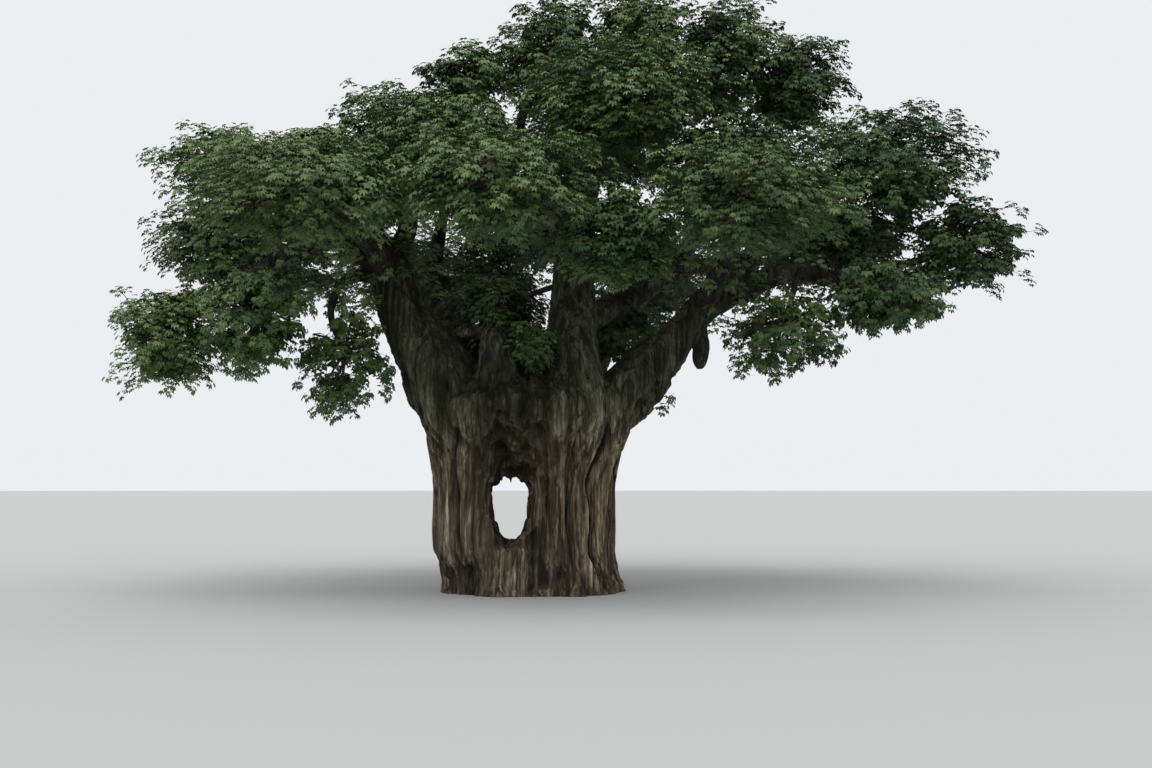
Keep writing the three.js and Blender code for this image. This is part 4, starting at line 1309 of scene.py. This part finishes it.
    @staticmethod
    def settled(thing: Thing) -> Mesh:
        """Applies an object's modifiers, removes it, and returns its finished mesh."""
        evaluated = thing.evaluated_get(bpy.context.evaluated_depsgraph_get())
        made = bpy.data.meshes.new_from_object(evaluated)
        old = thing.data
        bpy.data.objects.remove(thing)
        bpy.data.meshes.remove(old)
        return made

    @staticmethod
    def remesh(thing: Thing, voxel: float, smoothing: int) -> None:
        """Gives an object a new skin of even faces, and smooths it as often as told."""
        skin = thing.modifiers.new("skin", "REMESH")
        skin.mode = "VOXEL"
        skin.voxel_size = voxel
        smooth = thing.modifiers.new("smooth", "SMOOTH")
        smooth.iterations = smoothing
        smooth.factor = 0.5

    @staticmethod
    def cut(thing: Thing, space: Thing) -> None:
        """Cuts the shape of one object out of another."""
        made = thing.modifiers.new("cut", "BOOLEAN")
        made.operation = "DIFFERENCE"
        made.solver = "MANIFOLD"
        made.object = space

    def plain_trunk(self) -> Mesh:
        """Fuses the trunk, boughs and stub into one skin and cuts the hole but for its ragged points."""
        fused = [limb for limb in LIMBS.values() if limb.root]
        boughs = [self.limb_skin(limb, self.blending) for limb in (*fused, *self.ribs)]
        thing = self.gathered("wood", [self.trunk.body(), *boughs])
        self.remesh(thing, self.first_voxel, self.blending)
        drips = self.gathered("drips", self.trunk.bark_drips())
        self.remesh(drips, self.drip_voxel, 0)
        space = self.gathered("space", [self.trunk.hole_space()])
        self.cut(space, drips)
        self.cut(thing, space)
        self.remesh(thing, self.voxel, 5)
        made = self.settled(thing)
        bpy.data.objects.remove(space)
        bpy.data.objects.remove(drips)
        return made

    def thinned(self, mesh: Mesh) -> Mesh:
        """Takes faces off a skin where it is plainest, until it has few enough."""
        faces = sum(len(polygon.vertices) - 2 for polygon in mesh.polygons)
        thing = shown("thinned", mesh)
        decimate = thing.modifiers.new("thin", "DECIMATE")
        decimate.ratio = min(1.0, self.most_faces / faces)
        return self.settled(thing)

    @staticmethod
    def keep_zones(mesh: Mesh, zones: Array) -> None:
        """Keeps four numbers for each vertex in the attribute that the bark's finish reads."""
        layer = mesh.attributes.new("Zones", "FLOAT_COLOR", "POINT")
        layer.data.foreach_set("color", zones.astype(np.float32).ravel())

    @staticmethod
    def cut_at_ground(mesh: Mesh) -> None:
        """Cuts a skin off flat at the ground and closes it there."""
        body = bmesh.new()
        body.from_mesh(mesh)
        everything = body.verts[:] + body.edges[:] + body.faces[:]
        made = bmesh.ops.bisect_plane(
            body, geom=everything, dist=1e-5, plane_co=(0, 0, 0), plane_no=(0, 0, 1), clear_inner=True
        )
        rim = [part for part in made["geom_cut"] if isinstance(part, bmesh.types.BMEdge)]
        closed = bmesh.ops.edgenet_fill(body, edges=rim)
        bmesh.ops.triangulate(body, faces=closed["faces"])
        body.to_mesh(mesh)
        body.free()

    def trunk_mesh(self) -> Mesh:
        """Makes the trunk with its boughs, stub and hole as one skin with the bark's relief."""
        plain = self.plain_trunk()
        points, normals = places_and_normals(plain)
        bark = self.bark
        out = bark.relief(self.trunk, points)
        set_places(plain, points + normals * out[:, None])
        # painted shade in the relief's hollows and painted light on its crests, lighter along the pale
        # ridge
        pale = self.pale_light * bark.pale_ridge.share(points)
        painted_relief_shade = np.clip(0.5 + out / self.shade_depth + pale, 0, 1)
        # dark rotten wood with painted shade in the recess and the hole, in patches, and painted shade
        # on the fork's up-facing floor
        rot_and_shade = self.rot_and_shade_recess * bark.recess(points) + self.rot_and_shade_throat * bark.throat(points)
        patches = np.abs(bark.shag.at(points, self.rot_and_shade_patches))
        rot_and_shade = np.clip(rot_and_shade, 0, 1) * (self.rot_and_shade_least + (1 - self.rot_and_shade_least) * patches)
        rot_and_shade = np.maximum(rot_and_shade, self.fork_floor_shade * bark.shaded_fork_floor(points, normals))
        zones = np.stack([bark.worn(points), rot_and_shade, bark.earthy(points), painted_relief_shade], axis=1)
        self.keep_zones(plain, zones)
        thin = self.thinned(plain)
        self.cut_at_ground(thin)
        thin.shade_smooth()
        return thin

    def limb_mesh(self) -> Mesh:
        """Makes the thinner limbs, the hanging knob and the snag on the stub as one skin."""
        parts = [self.limb_skin(limb) for limb in (*LIMBS.values(), self.snag) if not limb.root]
        thing = self.gathered("limbs", parts)
        self.remesh(thing, self.limb_voxel, 6)
        plain = self.settled(thing)
        points, normals = places_and_normals(plain)
        out = self.bark.limb_relief(points)
        set_places(plain, points + normals * out[:, None])
        # painted shade in the relief's hollows and painted light on its crests
        painted_relief_shade = np.clip(0.5 + out / self.limb_shade_depth, 0, 1)
        still = np.zeros(len(points))
        self.keep_zones(plain, np.stack([still, still, still, painted_relief_shade], axis=1))
        thin = self.thinned(plain)
        thin.shade_smooth()
        return thin

    def build(self) -> None:
        """Builds and dresses the wood."""
        boughs = [name for name, limb in LIMBS.items() if limb.root]
        others = [name for name, limb in LIMBS.items() if not limb.root]
        show_piece("trunk_and_boughs", self.trunk_mesh(), TRUNK_BARK, ["trunk", *boughs])
        show_piece("limbs", self.limb_mesh(), LIMB_BARK, others)


@dataclass
class Tubes:
    """Many tapering tubes of as many rings each, gathered for one mesh. The last may be a point."""

    sides: int
    rings: int
    pointed: bool = False
    paths: list[Array] = field(default_factory=list)
    radii: list[Array] = field(default_factory=list)

    def add(self, path: Array, radii: Array) -> None:
        """Adds a tube by the points it passes and its radius at each."""
        self.paths.append(path)
        self.radii.append(radii)

    def arrays(self, first: int) -> tuple[Array, list[Array]]:
        """Makes the tubes' vertices and faces.

        Args:
            first: The number that the first vertex gets.

        Returns:
            The vertices, and an array of faces for each number of corners.
        """
        paths, radii = np.array(self.paths), np.array(self.radii)
        along = unit(np.gradient(paths, axis=1))
        lean = np.abs(unit(paths[:, -1] - paths[:, 0])[:, 2])
        aside = np.where(lean[:, None] < 0.9, UP, ALONG_X)
        across = unit(np.cross(along, aside[:, None, :]))
        over = np.cross(along, across)
        angle = np.arange(self.sides) * 2 * math.pi / self.sides
        ring = np.cos(angle)[:, None] * across[:, :, None, :]
        ring = ring + np.sin(angle)[:, None] * over[:, :, None, :]
        points = paths[:, :, None, :] + radii[:, :, None, None] * ring
        if self.pointed:
            points = points[:, :-1]
        numbers = first + np.arange(points[..., 0].size).reshape(points.shape[:3])
        here, beside = numbers, np.roll(numbers, -1, axis=2)
        walls = np.stack([here[:, :-1], beside[:, :-1], beside[:, 1:], here[:, 1:]], axis=-1)
        faces = [walls.reshape(-1, 4), numbers[:, 0, ::-1]]
        points = points.reshape(-1, 3)
        if not self.pointed:
            return points, [*faces, numbers[:, -1]]
        tips = np.broadcast_to(first + len(points) + np.arange(len(paths))[:, None], here[:, -1].shape)
        faces.append(np.stack([here[:, -1], beside[:, -1], tips], axis=-1).reshape(-1, 3))
        return np.vstack([points, paths[:, -1]]), faces


@dataclass
class LeafShape:
    """A palmate leaf of five leaflets on a stalk, in metres. Each leaflet is folded at its midrib."""

    leaflet: float = 0.126
    leaflet_wide: float = 0.052
    broadest: float = 0.6
    stalk: float = 0.09
    stalk_wide: float = 0.009
    spread: tuple[float, ...] = (-82.0, -43.0, 0.0, 43.0, 82.0)
    lengths: tuple[float, ...] = (0.72, 0.92, 1.0, 0.92, 0.72)
    raised: float = 0.064  # how far a leaflet's edges rise from its midrib, and its tip sinks
    sag: float = 0.22

    def arrays(self, roots: Array, ways: Array, ups: Array, sizes: Array) -> tuple[Array, Array]:
        """Makes many leaves.

        Args:
            roots: Where each leaf's stalk starts.
            ways: The way each leaf points.
            ups: The way that each leaf's face is turned.
            sizes: Each leaf's size, where 1 is usual.

        Returns:
            The vertices and the triangles, numbered from 0.
        """
        side = unit(np.cross(ups, ways))
        face = np.cross(ways, side)
        sizes = sizes[:, None]
        heart = roots + ways * self.stalk * sizes
        columns = [roots - side * self.stalk_wide, roots + side * self.stalk_wide, heart]
        triangles = [(0, 2, 1)]
        for degrees, share in zip(self.spread, self.lengths):
            turn = math.radians(degrees)
            out = math.cos(turn) * ways + math.sin(turn) * side
            beside = math.cos(turn) * side - math.sin(turn) * ways
            length = self.leaflet * share * sizes
            middle = heart + out * length * self.broadest + face * self.raised * length
            half = beside * self.leaflet_wide * share * sizes / 2
            tip = heart + out * length - face * self.sag * length
            first = len(columns)
            columns += [middle - half, middle + half, tip]
            triangles += [(2, first, first + 2), (2, first + 2, first + 1)]
        points = np.stack(columns, axis=1)
        numbers = np.arange(len(roots))[:, None, None] * len(columns) + np.array(triangles)
        return points.reshape(-1, 3), numbers.reshape(-1, 3)


@dataclass
class Rosettes:
    """The leaf sprays as they are grown: where each is, the way it faces, and its tone."""

    rows: list[tuple[Array, ...]] = field(default_factory=list)

    def add(self, middles: Array, axes: Array, droop: float, seeds: Array, tones: Array) -> None:
        """Adds some sprays.

        Args:
            middles: Where each is.
            axes: The way each faces.
            droop: How far their leaves hang, in radians.
            seeds: A seed for each.
            tones: A number from 0, dark, to 1, light, for each.
        """
        self.rows.append((middles, axes, np.full(len(middles), droop), seeds, tones))

    def gathered(self) -> tuple[Array, Array, Array, Array, Array]:
        """Returns the middles, axes, droops, seeds and tones of all the sprays."""
        return tuple(np.concatenate(kind) for kind in zip(*self.rows))


@dataclass(frozen=True)
class Twig:
    """One leafy twig to be grown, in metres.

    Its tone is from 0, dark, to 1, light. The middle and half sizes are those of the foliage that it is
    part of, whose outer leaves face outwards.
    """

    start: Array
    tip: Array
    seed: float
    tone: float
    middle: Array
    half: Array
    weeps: bool = False


@dataclass(frozen=True)
class Sprout:
    """A leafy twig that springs from a limb's bare bark: where on it, its way and its length."""

    limb: str
    at: float
    way: Point
    length: float


@dataclass
class Crown:
    """All the foliage: what grows from each limb, by the source's rule and carried on from it.

    A spray that is deep in the crown, where only its shade shows, gets leaves of three broad leaflets.
    """

    sprays: int = 10
    airy_sprays: int = 6
    reach: float = 1.12
    stem_radius: float = 0.1
    stem_end: float = 0.6  # its radius at its end, as a share
    stem_fit: float = 0.94  # its radius at a limb's tip, as a share of the limb's
    stem_sunk: float = 0.12
    stem_bend_from_side: float = 0.15
    stem_bend_from_tip: float = 0.35
    branch_share: float = 0.6
    branch_radius: float = 0.05
    branch_end: float = 1.4  # how many times thicker its end is than a twig
    branch_rise: float = 0.05
    branch_stray: float = 0.12
    pad_share: float = 0.55
    twigs: int = 12
    weeping_twigs: int = 10
    small_pads: float = 0.9  # how many smaller pads grow between the source's, as a share of them
    small_pad_size: float = 0.8
    small_pad_twigs: float = 0.5
    usual_size: float = 7.4  # a mass whose half sizes multiply to this has just so many twigs to a pad
    twig_share_bounds: Pair = (0.8, 1.4)  # and no mass has fewer or more than these shares of them
    twig_lengths: Pair = (0.8, 1.2)
    twig_radius: float = 0.015
    twig_end: float = 0.004
    twig_flat: float = 0.58
    twig_flat_under: float = 0.48
    twig_arch: float = 0.12
    weeping_arch: float = 0.18
    twig_stray: float = 0.2
    shoot_shares: tuple[float, ...] = (0.36, 0.6, 0.82, 1.0)
    shoot_length: float = 0.2
    shoot_lengths: Pair = (0.6, 1.4)
    shoot_radii: Pair = (0.008, 0.004)
    shoot_rise: float = 0.25
    weeping_shoot_rise: float = -0.35
    weeping_fall: Pair = (-0.75, -0.1)  # what a weeping twig's rise is multiplied by, and what is added
    spray_outward: float = 0.55  # how far a spray faces outwards, upwards and at random
    spray_up: float = 0.85
    spray_stray: float = 0.5
    leaves: int = 5
    deep_share: float = 0.5
    crowding: float = 1.2  # how soon a mass stops counting as near
    limb_gap: float = 0.22
    box_margin: float = 0.12
    droop: float = 0.38
    weeping_droop: float = 0.85
    spray_length: float = 0.15  # how far the leaves of a spray are spread along its shoot
    leafing_step: float = 0.32  # how far apart short leafy twigs spring along a very thin limb
    leafing_thick: float = 2.6  # how many times more there are for each metre of its radius
    leafing_from: float = 0.08
    bough_leafing_from: float = 0.66
    leafing_length: float = 1.05
    leafing_lengths: Pair = (0.75, 1.25)
    leafing_slant: float = 0.45
    fall_bounds: Pair = (0.35, 1.25)  # how far a leaf hangs, as shares of its spray's droop
    leaf_sizes: Pair = (0.78, 1.22)
    leaf_turn: float = 0.6
    leaf_outward: float = 0.5  # how far a leaf's face is turned outwards, and upwards
    leaf_up: float = 0.3
    # what a leaf's tone owes at random to its pad and its spray, and as painted light to its height, the
    # way it faces, and how far it is towards the front and towards -X
    tone_by_pad: float = 0.42
    tone_by_spray: float = 0.26
    painted_light_by_height: float = 0.08
    painted_light_by_facing: float = 0.12
    painted_light_by_front: float = 0.3
    painted_light_by_side: float = 0.34
    sprouts: tuple[Sprout, ...] = (
        Sprout("bough_right", 0.25, (0.93, -0.3, -0.2), 0.25),
        Sprout("bough_right", 0.28, (0.85, 0.2, -0.5), 0.26),
        Sprout("bough_right", 0.31, (0.9, -0.1, -0.42), 0.27),
        Sprout("bough_right", 0.34, (0.8, -0.4, -0.45), 0.26),
        Sprout("bough_left", 0.78, (0.85, -0.25, -0.7), 1.3),
        Sprout("bough_left", 0.7, (0.8, -0.2, 0.3), 0.9),
    )
    leaf: LeafShape = field(default_factory=LeafShape)
    deep_leaf: LeafShape = field(
        default_factory=lambda: LeafShape(
            leaflet=0.16, leaflet_wide=0.1, stalk=0.08,
            spread=(-58.0, 0.0, 58.0), lengths=(0.9, 1.0, 0.9),
        )
    )
    stems: Tubes = field(default_factory=lambda: Tubes(8, 9))
    branches: Tubes = field(default_factory=lambda: Tubes(5, 6))
    fine_twigs: Tubes = field(default_factory=lambda: Tubes(3, 4, pointed=True))
    shoots: Tubes = field(default_factory=lambda: Tubes(3, 2, pointed=True))
    rosettes: Rosettes = field(default_factory=Rosettes)

    @cached_property
    def spaces(self) -> tuple[Array, Array]:
        """The middles and half sizes of all the masses."""
        masses = MASSES.values()
        return np.array([m.middle for m in masses], float), np.array([m.half for m in masses], float)

    @cached_property
    def wood(self) -> tuple[Array, Array]:
        """Points along all the limbs, and the limb's radius at each."""
        shares = np.linspace(0, 1, 40)
        points = np.vstack([limb.line(shares) for limb in LIMBS.values()])
        radii = np.concatenate([limb.radius(shares) for limb in LIMBS.values()])
        return points, radii

    @cached_property
    def box(self) -> tuple[Array, Array]:
        """The lowest and highest corner that the middle of a leaf spray may reach."""
        low, high = CAD_BOX
        return np.array(low) + self.box_margin, np.array(high) - self.box_margin

    def depths(self, points: Array) -> Array:
        """Returns how deep each point is in each mass: 0 at its middle and 1 at its edge."""
        middles, halves = self.spaces
        return np.linalg.norm((points[:, None, :] - middles) / halves, axis=2)

    def keeps_to_itself(self, number: int, points: Array, reach: float) -> Array:
        """Says which points lie in a mass's own space and nearer to it than to any other mass.

        Args:
            number: Which mass.
            points: The points.
            reach: How far out they may be, as a share of the mass's half sizes.

        Returns:
            True or False for each point.
        """
        depth = self.depths(points)
        own = depth[:, number]
        return (own <= reach) & (own <= depth.min(axis=1) + 1e-9)

    def clear_of_wood(self, points: Array) -> Array:
        """Says which points are clear of the limbs and the trunk."""
        places, radii = self.wood
        gap = np.linalg.norm(points[:, None, :] - places, axis=2) - radii
        return gap.min(axis=1) > self.limb_gap

    def inside_box(self, points: Array) -> Array:
        """Says which points leave room for a leaf spray inside the CAD model's box."""
        low, high = self.box
        return np.all((points > low) & (points < high), axis=1)

    def stem(self, mass: Mass) -> None:
        """Runs a mass's stem from its limb to its middle, as the source does.

        Args:
            mass: The mass.
        """
        limb = LIMBS[mass.limb]
        at = mass.root_at or 1.0
        hub = np.array(mass.middle)
        root = limb.line(at)
        way = limb.heading(at)
        if not mass.root_at:
            root = root - way * self.stem_sunk
        share = self.stem_bend_from_side if mass.root_at else self.stem_bend_from_tip
        bend = np.linalg.norm(hub - root) * share
        t = np.linspace(0, 1, self.stems.rings)[:, None]
        path = (1 - t) ** 2 * root + 2 * t * (1 - t) * (root + way * bend) + t**2 * hub
        foot = self.stem_radius if mass.root_at else limb.tip * self.stem_fit
        self.stems.add(path, foot + (self.stem_radius * self.stem_end - foot) * t[:, 0])

    @staticmethod
    def bent(start: Array, end: Array, rings: int, rise: float, sideways: Array) -> Array:
        """Runs a line from start to end that rises or sags and bends to one side on its way."""
        t = np.linspace(0, 1, rings)[:, None]
        length = np.linalg.norm(end - start)
        arch = 4 * t * (1 - t) * length
        return start + (end - start) * t + arch * (rise * UP + sideways)

    def grow(self) -> None:
        """Grows every mass, and the short twigs along the limbs between the masses."""
        for number, mass in enumerate(MASSES.values()):
            self.grow_mass(number, mass)
        for number, limb in enumerate(LIMBS.values()):
            if limb.end is LimbEnd.HIDDEN:
                self.leaf_limb(limb, number + 1)
        for number, sprout in enumerate(self.sprouts):
            way = unit(np.array(sprout.way))
            self.grow_sprout(LIMBS[sprout.limb], sprout.at, way, sprout.length, 71 + number)

    def grow_mass(self, number: int, mass: Mass) -> None:
        """Grows one mass: its stem, a branch to each of the source's pads, and smaller pads between.

        Args:
            number: Which mass it is in the source's order, from 0.
            mass: The mass.
        """
        seed = number + 1
        self.stem(mass)
        count = self.airy_sprays if mass.airy else self.sprays
        self.grow_pads(number, mass, count, seed, False)
        self.grow_pads(number, mass, round(count * self.small_pads), seed + 0.5, True)

    def grow_pads(self, number: int, mass: Mass, count: int, seed: float, small: bool) -> None:
        """Grows branches that are spread evenly from a mass's middle, each with a pad at its end.

        Args:
            number: Which mass it is.
            mass: The mass.
            count: How many branches.
            seed: Their seed.
            small: Whether their pads are the smaller ones.
        """
        hub = np.array(mass.middle)
        ways = spread_evenly(count, chance(seed) * 2 * math.pi)
        ends = hub + ways * np.array(mass.half) * self.branch_share
        keep = self.keeps_to_itself(number, ends, self.reach) & self.clear_of_wood(ends)
        for k in np.flatnonzero(keep):
            pad_seed = seed * 97 + k * 7
            aside = self.branch_stray * (chance(pad_seed + np.array([0.1, 0.2, 0.3])) - 0.5)
            path = self.bent(hub, ends[k], self.branches.rings, self.branch_rise, aside)
            end = self.twig_radius * self.branch_end
            taper = np.linspace(self.branch_radius, end, self.branches.rings)
            self.branches.add(path, taper)
            self.grow_pad(number, mass, ends[k], pad_seed, small)

    def grow_pad(self, number: int, mass: Mass, heart: Array, seed: float, small: bool) -> None:
        """Grows one pad of foliage: twigs spread from its heart, with shoots along them.

        Args:
            number: Which mass it belongs to.
            mass: The mass.
            heart: Where the pad's twigs start.
            seed: The pad's seed.
            small: Whether it is one of the smaller ones.
        """
        middle, half = np.array(mass.middle), np.array(mass.half)
        usual = self.weeping_twigs if mass.weeps else self.twigs
        usual *= float(np.clip(math.sqrt(math.prod(half) / self.usual_size), *self.twig_share_bounds))
        count = round(usual * (self.small_pad_twigs if small else 1))
        ways = spread_evenly(count, chance(seed) * 2 * math.pi)
        rise = ways[:, 2]
        flat = np.where(rise > 0, self.twig_flat, self.twig_flat_under)
        share, least = self.weeping_fall
        ways[:, 2] = share * np.abs(rise) + least if mass.weeps else rise * flat
        lengths = between(*self.twig_lengths, seed + 0.1 * np.arange(1, count + 1))
        size = self.pad_share * (self.small_pad_size if small else 1)
        tips = heart + ways * half * size * lengths[:, None]
        tone = chance(seed + 0.77)

        def kept(points: Array) -> Array:
            """Says which points a leaf spray may be at."""
            own = self.keeps_to_itself(number, points, self.reach)
            return own & self.clear_of_wood(points) & self.inside_box(points)

        for j in np.flatnonzero(kept(tips)):
            twig = Twig(heart, tips[j], seed + 0.01 * (j + 1), tone, middle, half, mass.weeps)
            self.grow_twig(twig, kept)

    def leaf_limb(self, limb: Limb, seed: int) -> None:
        """Grows short leafy twigs along a limb, or towards the end of a bough.

        Args:
            limb: The limb.
            seed: The limb's seed.
        """
        first = self.bough_leafing_from if limb.root else self.leafing_from
        thickly = 1 + self.leafing_thick * limb.foot
        count = round(limb.length * (1 - first) / self.leafing_step * thickly)
        for k in range(count):
            at = first + (1 - first) * k / count
            along = limb.heading(at)
            across = unit(np.cross(along, UP))
            turn = k * GOLDEN_ANGLE + seed
            aside = math.cos(turn) * across + math.sin(turn) * np.cross(across, along)
            way = unit(aside + self.leafing_slant * along)
            length = self.leafing_length * between(*self.leafing_lengths, seed * 13 + k)
            self.grow_sprout(limb, at, way, length, seed * 29 + k * 3)

    def grow_sprout(self, limb: Limb, at: float, way: Array, length: float, seed: float) -> None:
        """Grows a leafy twig out of a limb's bark.

        Args:
            limb: The limb.
            at: Where on it, as a share of its length.
            way: The way the twig points.
            length: How far it stands out of the bark.
            seed: Its seed.
        """
        start = limb.line(at)
        tip = start + way * (float(limb.radius(at)) + length)

        def kept(points: Array) -> Array:
            """Says which points a leaf spray may be at."""
            return self.clear_of_wood(points) & self.inside_box(points)

        twig = Twig(start, tip, seed, chance(seed + 0.77), start, np.full(3, length), way[2] < -0.3)
        self.grow_twig(twig, kept)

    def grow_twig(self, twig: Twig, kept: Callable[[Array], Array]) -> None:
        """Grows one twig, with short shoots along it that end in leaf sprays.

        Args:
            twig: The twig.
            kept: Says which of some points its leaf sprays may be at.
        """
        rings = self.fine_twigs.rings
        seed = twig.seed
        aside = self.twig_stray * (chance(seed + np.arange(3) * 1.37) - 0.5)
        arch = self.weeping_arch if twig.weeps else self.twig_arch
        path = self.bent(twig.start, twig.tip, rings, arch, aside)
        self.fine_twigs.add(path, np.linspace(self.twig_radius, self.twig_end, rings))
        shares = np.array(self.shoot_shares)
        count = len(shares)
        spots = np.stack([np.interp(shares, np.linspace(0, 1, rings), axis) for axis in path.T], axis=1)
        numbers = np.arange(count)
        turn = seed * 40 + numbers * 2.4
        reach = self.shoot_length * between(*self.shoot_lengths, seed * 3 + numbers * 0.7)
        rise = np.full(count, self.weeping_shoot_rise if twig.weeps else self.shoot_rise)
        middles = spots + unit(np.stack([np.cos(turn), np.sin(turn), rise], axis=1)) * reach[:, None]
        middles[-1] = spots[-1]
        keep = kept(middles)
        for spot, middle in zip(spots[:-1][keep[:-1]], middles[:-1][keep[:-1]]):
            self.shoots.add(np.array([spot, middle]), np.array(self.shoot_radii))
        outward = unit((middles - twig.middle) / twig.half)
        stray = chance(seed * 5 + numbers[:, None] + np.arange(3)) - 0.5
        axes = unit(outward * self.spray_outward + UP * self.spray_up + self.spray_stray * stray)
        seeds = seed * 11 + numbers * 1.9
        tones = self.tone_by_pad * twig.tone + self.tone_by_spray * chance(seeds)
        # painted light by place and facing, on top of the tones dealt at random
        tones = tones + self.painted_light_at(middles, outward)
        droop = self.weeping_droop if twig.weeps else self.droop
        self.rosettes.add(middles[keep], axes[keep], droop, seeds[keep], tones[keep])

    def painted_light_at(self, points: Array, outward: Array) -> Array:
        """Returns how much painted light a spray's leaves get for where it is and the way it faces.

        They are painted lighter high up, on top, towards the front and towards -X.
        """
        low, high = self.box
        across, deep, up = ((points - low) / (high - low)).T
        light = self.painted_light_by_height * up + self.painted_light_by_facing * (0.5 + 0.5 * outward[:, 2])
        return light + self.painted_light_by_front * (1 - deep) + self.painted_light_by_side * (1 - across)

    def deep_sprays(self) -> Array:
        """Says which sprays are deepest in the crown, where the spaces of the masses crowd together."""
        depth = self.depths(self.rosettes.gathered()[0])
        crowding = np.exp(-(depth**2) * self.crowding).sum(axis=1)
        return crowding > np.quantile(crowding, 1 - self.deep_share)

    def leaf_arrays(self, leaf: LeafShape, chosen: Array) -> tuple[Array, Array]:
        """Makes the leaves of some of the sprays.

        Args:
            leaf: The shape of their leaves.
            chosen: The numbers of the sprays.

        Returns:
            Their vertices and triangles.
        """
        middles, axes, droops, seeds, _ = (rows[chosen] for rows in self.rosettes.gathered())
        k = np.arange(self.leaves)
        stray = self.leaf_turn * chance(seeds[:, None] + k * 0.31)
        turn = (k * GOLDEN_ANGLE + seeds[:, None] + stray)[..., None]
        aside = np.where(np.abs(axes[:, 2:]) < 0.95, UP, ALONG_X)
        across = unit(np.cross(axes, aside))[:, None, :]
        over = np.cross(axes[:, None, :], across)
        outward = np.cos(turn) * across + np.sin(turn) * over
        fall = droops[:, None] * between(*self.fall_bounds, seeds[:, None] * 2 + k * 0.53)
        ways = unit(outward * np.cos(fall)[..., None] - UP * np.sin(fall)[..., None])
        ups = unit(axes[:, None, :] + self.leaf_outward * outward + self.leaf_up * UP)
        sizes = between(*self.leaf_sizes, seeds[:, None] * 3 + k * 0.41)
        along = (k / (self.leaves - 1) - 0.5)[:, None] * self.spray_length
        roots = middles[:, None, :] + axes[:, None, :] * along
        flat = [rows.reshape(-1, 3) for rows in (roots, ways, np.broadcast_to(ups, ways.shape))]
        return leaf.arrays(*flat, sizes.ravel())

    def build(self) -> None:
        """Grows the crown and shows its wood and its leaves, each tone of leaf as a piece."""
        self.grow()
        nodes = list(MASSES)
        self.show_tubes("branches", [self.stems, self.branches], nodes)
        self.show_tubes("twigs", [self.fine_twigs, self.shoots], nodes)
        tones = self.rosettes.gathered()[4]
        order = np.argsort(tones, kind="stable")
        deep = self.deep_sprays()
        for tone, chosen in zip(LeafTone, np.array_split(order, len(LeafTone))):
            points, triangles = self.leaf_arrays(self.leaf, chosen[~deep[chosen]])
            more_points, more = self.leaf_arrays(self.deep_leaf, chosen[deep[chosen]])
            joined = np.vstack([triangles, more + len(points)])
            name = tone.value.name
            mesh = joined_mesh(name, np.vstack([points, more_points]), [joined])
            show_piece(name, mesh, tone.value, nodes)
        log.info("%d leaf sprays of %d leaves", len(tones), self.leaves)

    def show_tubes(self, name: str, kinds: list[Tubes], nodes: list[str]) -> None:
        """Shows several kinds of tubes as one piece.

        Args:
            name: The piece's name.
            kinds: The tubes.
            nodes: The CAD nodes that they stand for.
        """
        points, faces = [], []
        first = 0
        for tubes in kinds:
            places, polygons = tubes.arrays(first)
            points.append(places)
            faces += polygons
            first += len(places)
        show_piece(name, joined_mesh(name, np.vstack(points), faces), TWIG_BARK, nodes)


@dataclass
class Studio:
    """The pale floor, the soft light and the camera at the photograph's place, in metres and degrees."""

    eye: Point = (0.0, -35.0, 2.575)
    turned_right: float = 2.0
    raised: float = 4.2
    focal_pixels: float = 1400.0
    image_width: int = 1152
    sensor: float = 36.0
    floor_radius: float = 900.0
    floor_colour: Colour = (0.5, 0.5, 0.49)
    sky: Colour = (0.93, 0.95, 0.98)
    sky_strength: float = 0.9
    key_strength: float = 1.3
    key_spread: float = 70.0
    key_tilt: Pair = (22.0, -14.0)
    view_end: float = 4000.0

    def build(self) -> None:
        """Sets up the floor, the light and the camera."""
        self.build_camera()
        self.build_floor()
        self.build_light()

    def build_camera(self) -> None:
        """Sets the camera where the photograph was taken from."""
        data = bpy.data.cameras.new("camera")
        data.lens = self.focal_pixels / self.image_width * self.sensor
        data.sensor_width = self.sensor
        data.clip_end = self.view_end
        camera = bpy.data.objects.new("camera", data)
        camera.location = self.eye
        camera.rotation_euler = (math.radians(90 + self.raised), 0, -math.radians(self.turned_right))
        bpy.context.collection.objects.link(camera)
        bpy.context.scene.camera = camera

    def build_floor(self) -> None:
        """Lays a plain pale floor, as a round sheet."""
        sheet = bmesh.new()
        bmesh.ops.create_circle(sheet, cap_ends=True, segments=96, radius=self.floor_radius)
        mesh = bpy.data.meshes.new("floor")
        sheet.to_mesh(mesh)
        sheet.free()
        mesh.materials.append(PlainFinish("floor", self.floor_colour, 0.95, 0.1).material())
        shown("floor", mesh)

    def build_light(self) -> None:
        """Lights the scene with an even white sky and one broad soft light from above."""
        world = bpy.data.worlds.new("sky")
        world.use_nodes = True
        background = world.node_tree.nodes["Background"]
        background.inputs["Color"].default_value = (*self.sky, 1)
        background.inputs["Strength"].default_value = self.sky_strength
        bpy.context.scene.world = world
        data = bpy.data.lights.new("soft_light", "SUN")
        data.energy = self.key_strength
        data.angle = math.radians(self.key_spread)
        light = bpy.data.objects.new("soft_light", data)
        light.rotation_euler = (*(math.radians(tilt) for tilt in self.key_tilt), 0)
        bpy.context.collection.objects.link(light)
        bpy.context.scene.view_settings.view_transform = "Standard"


def main() -> None:
    """Builds the scene in order."""
    logging.basicConfig(level=logging.INFO, format="%(message)s")
    Studio().build()
    Wood().build()
    Crown().build()


if __name__ == "__main__":
    main()
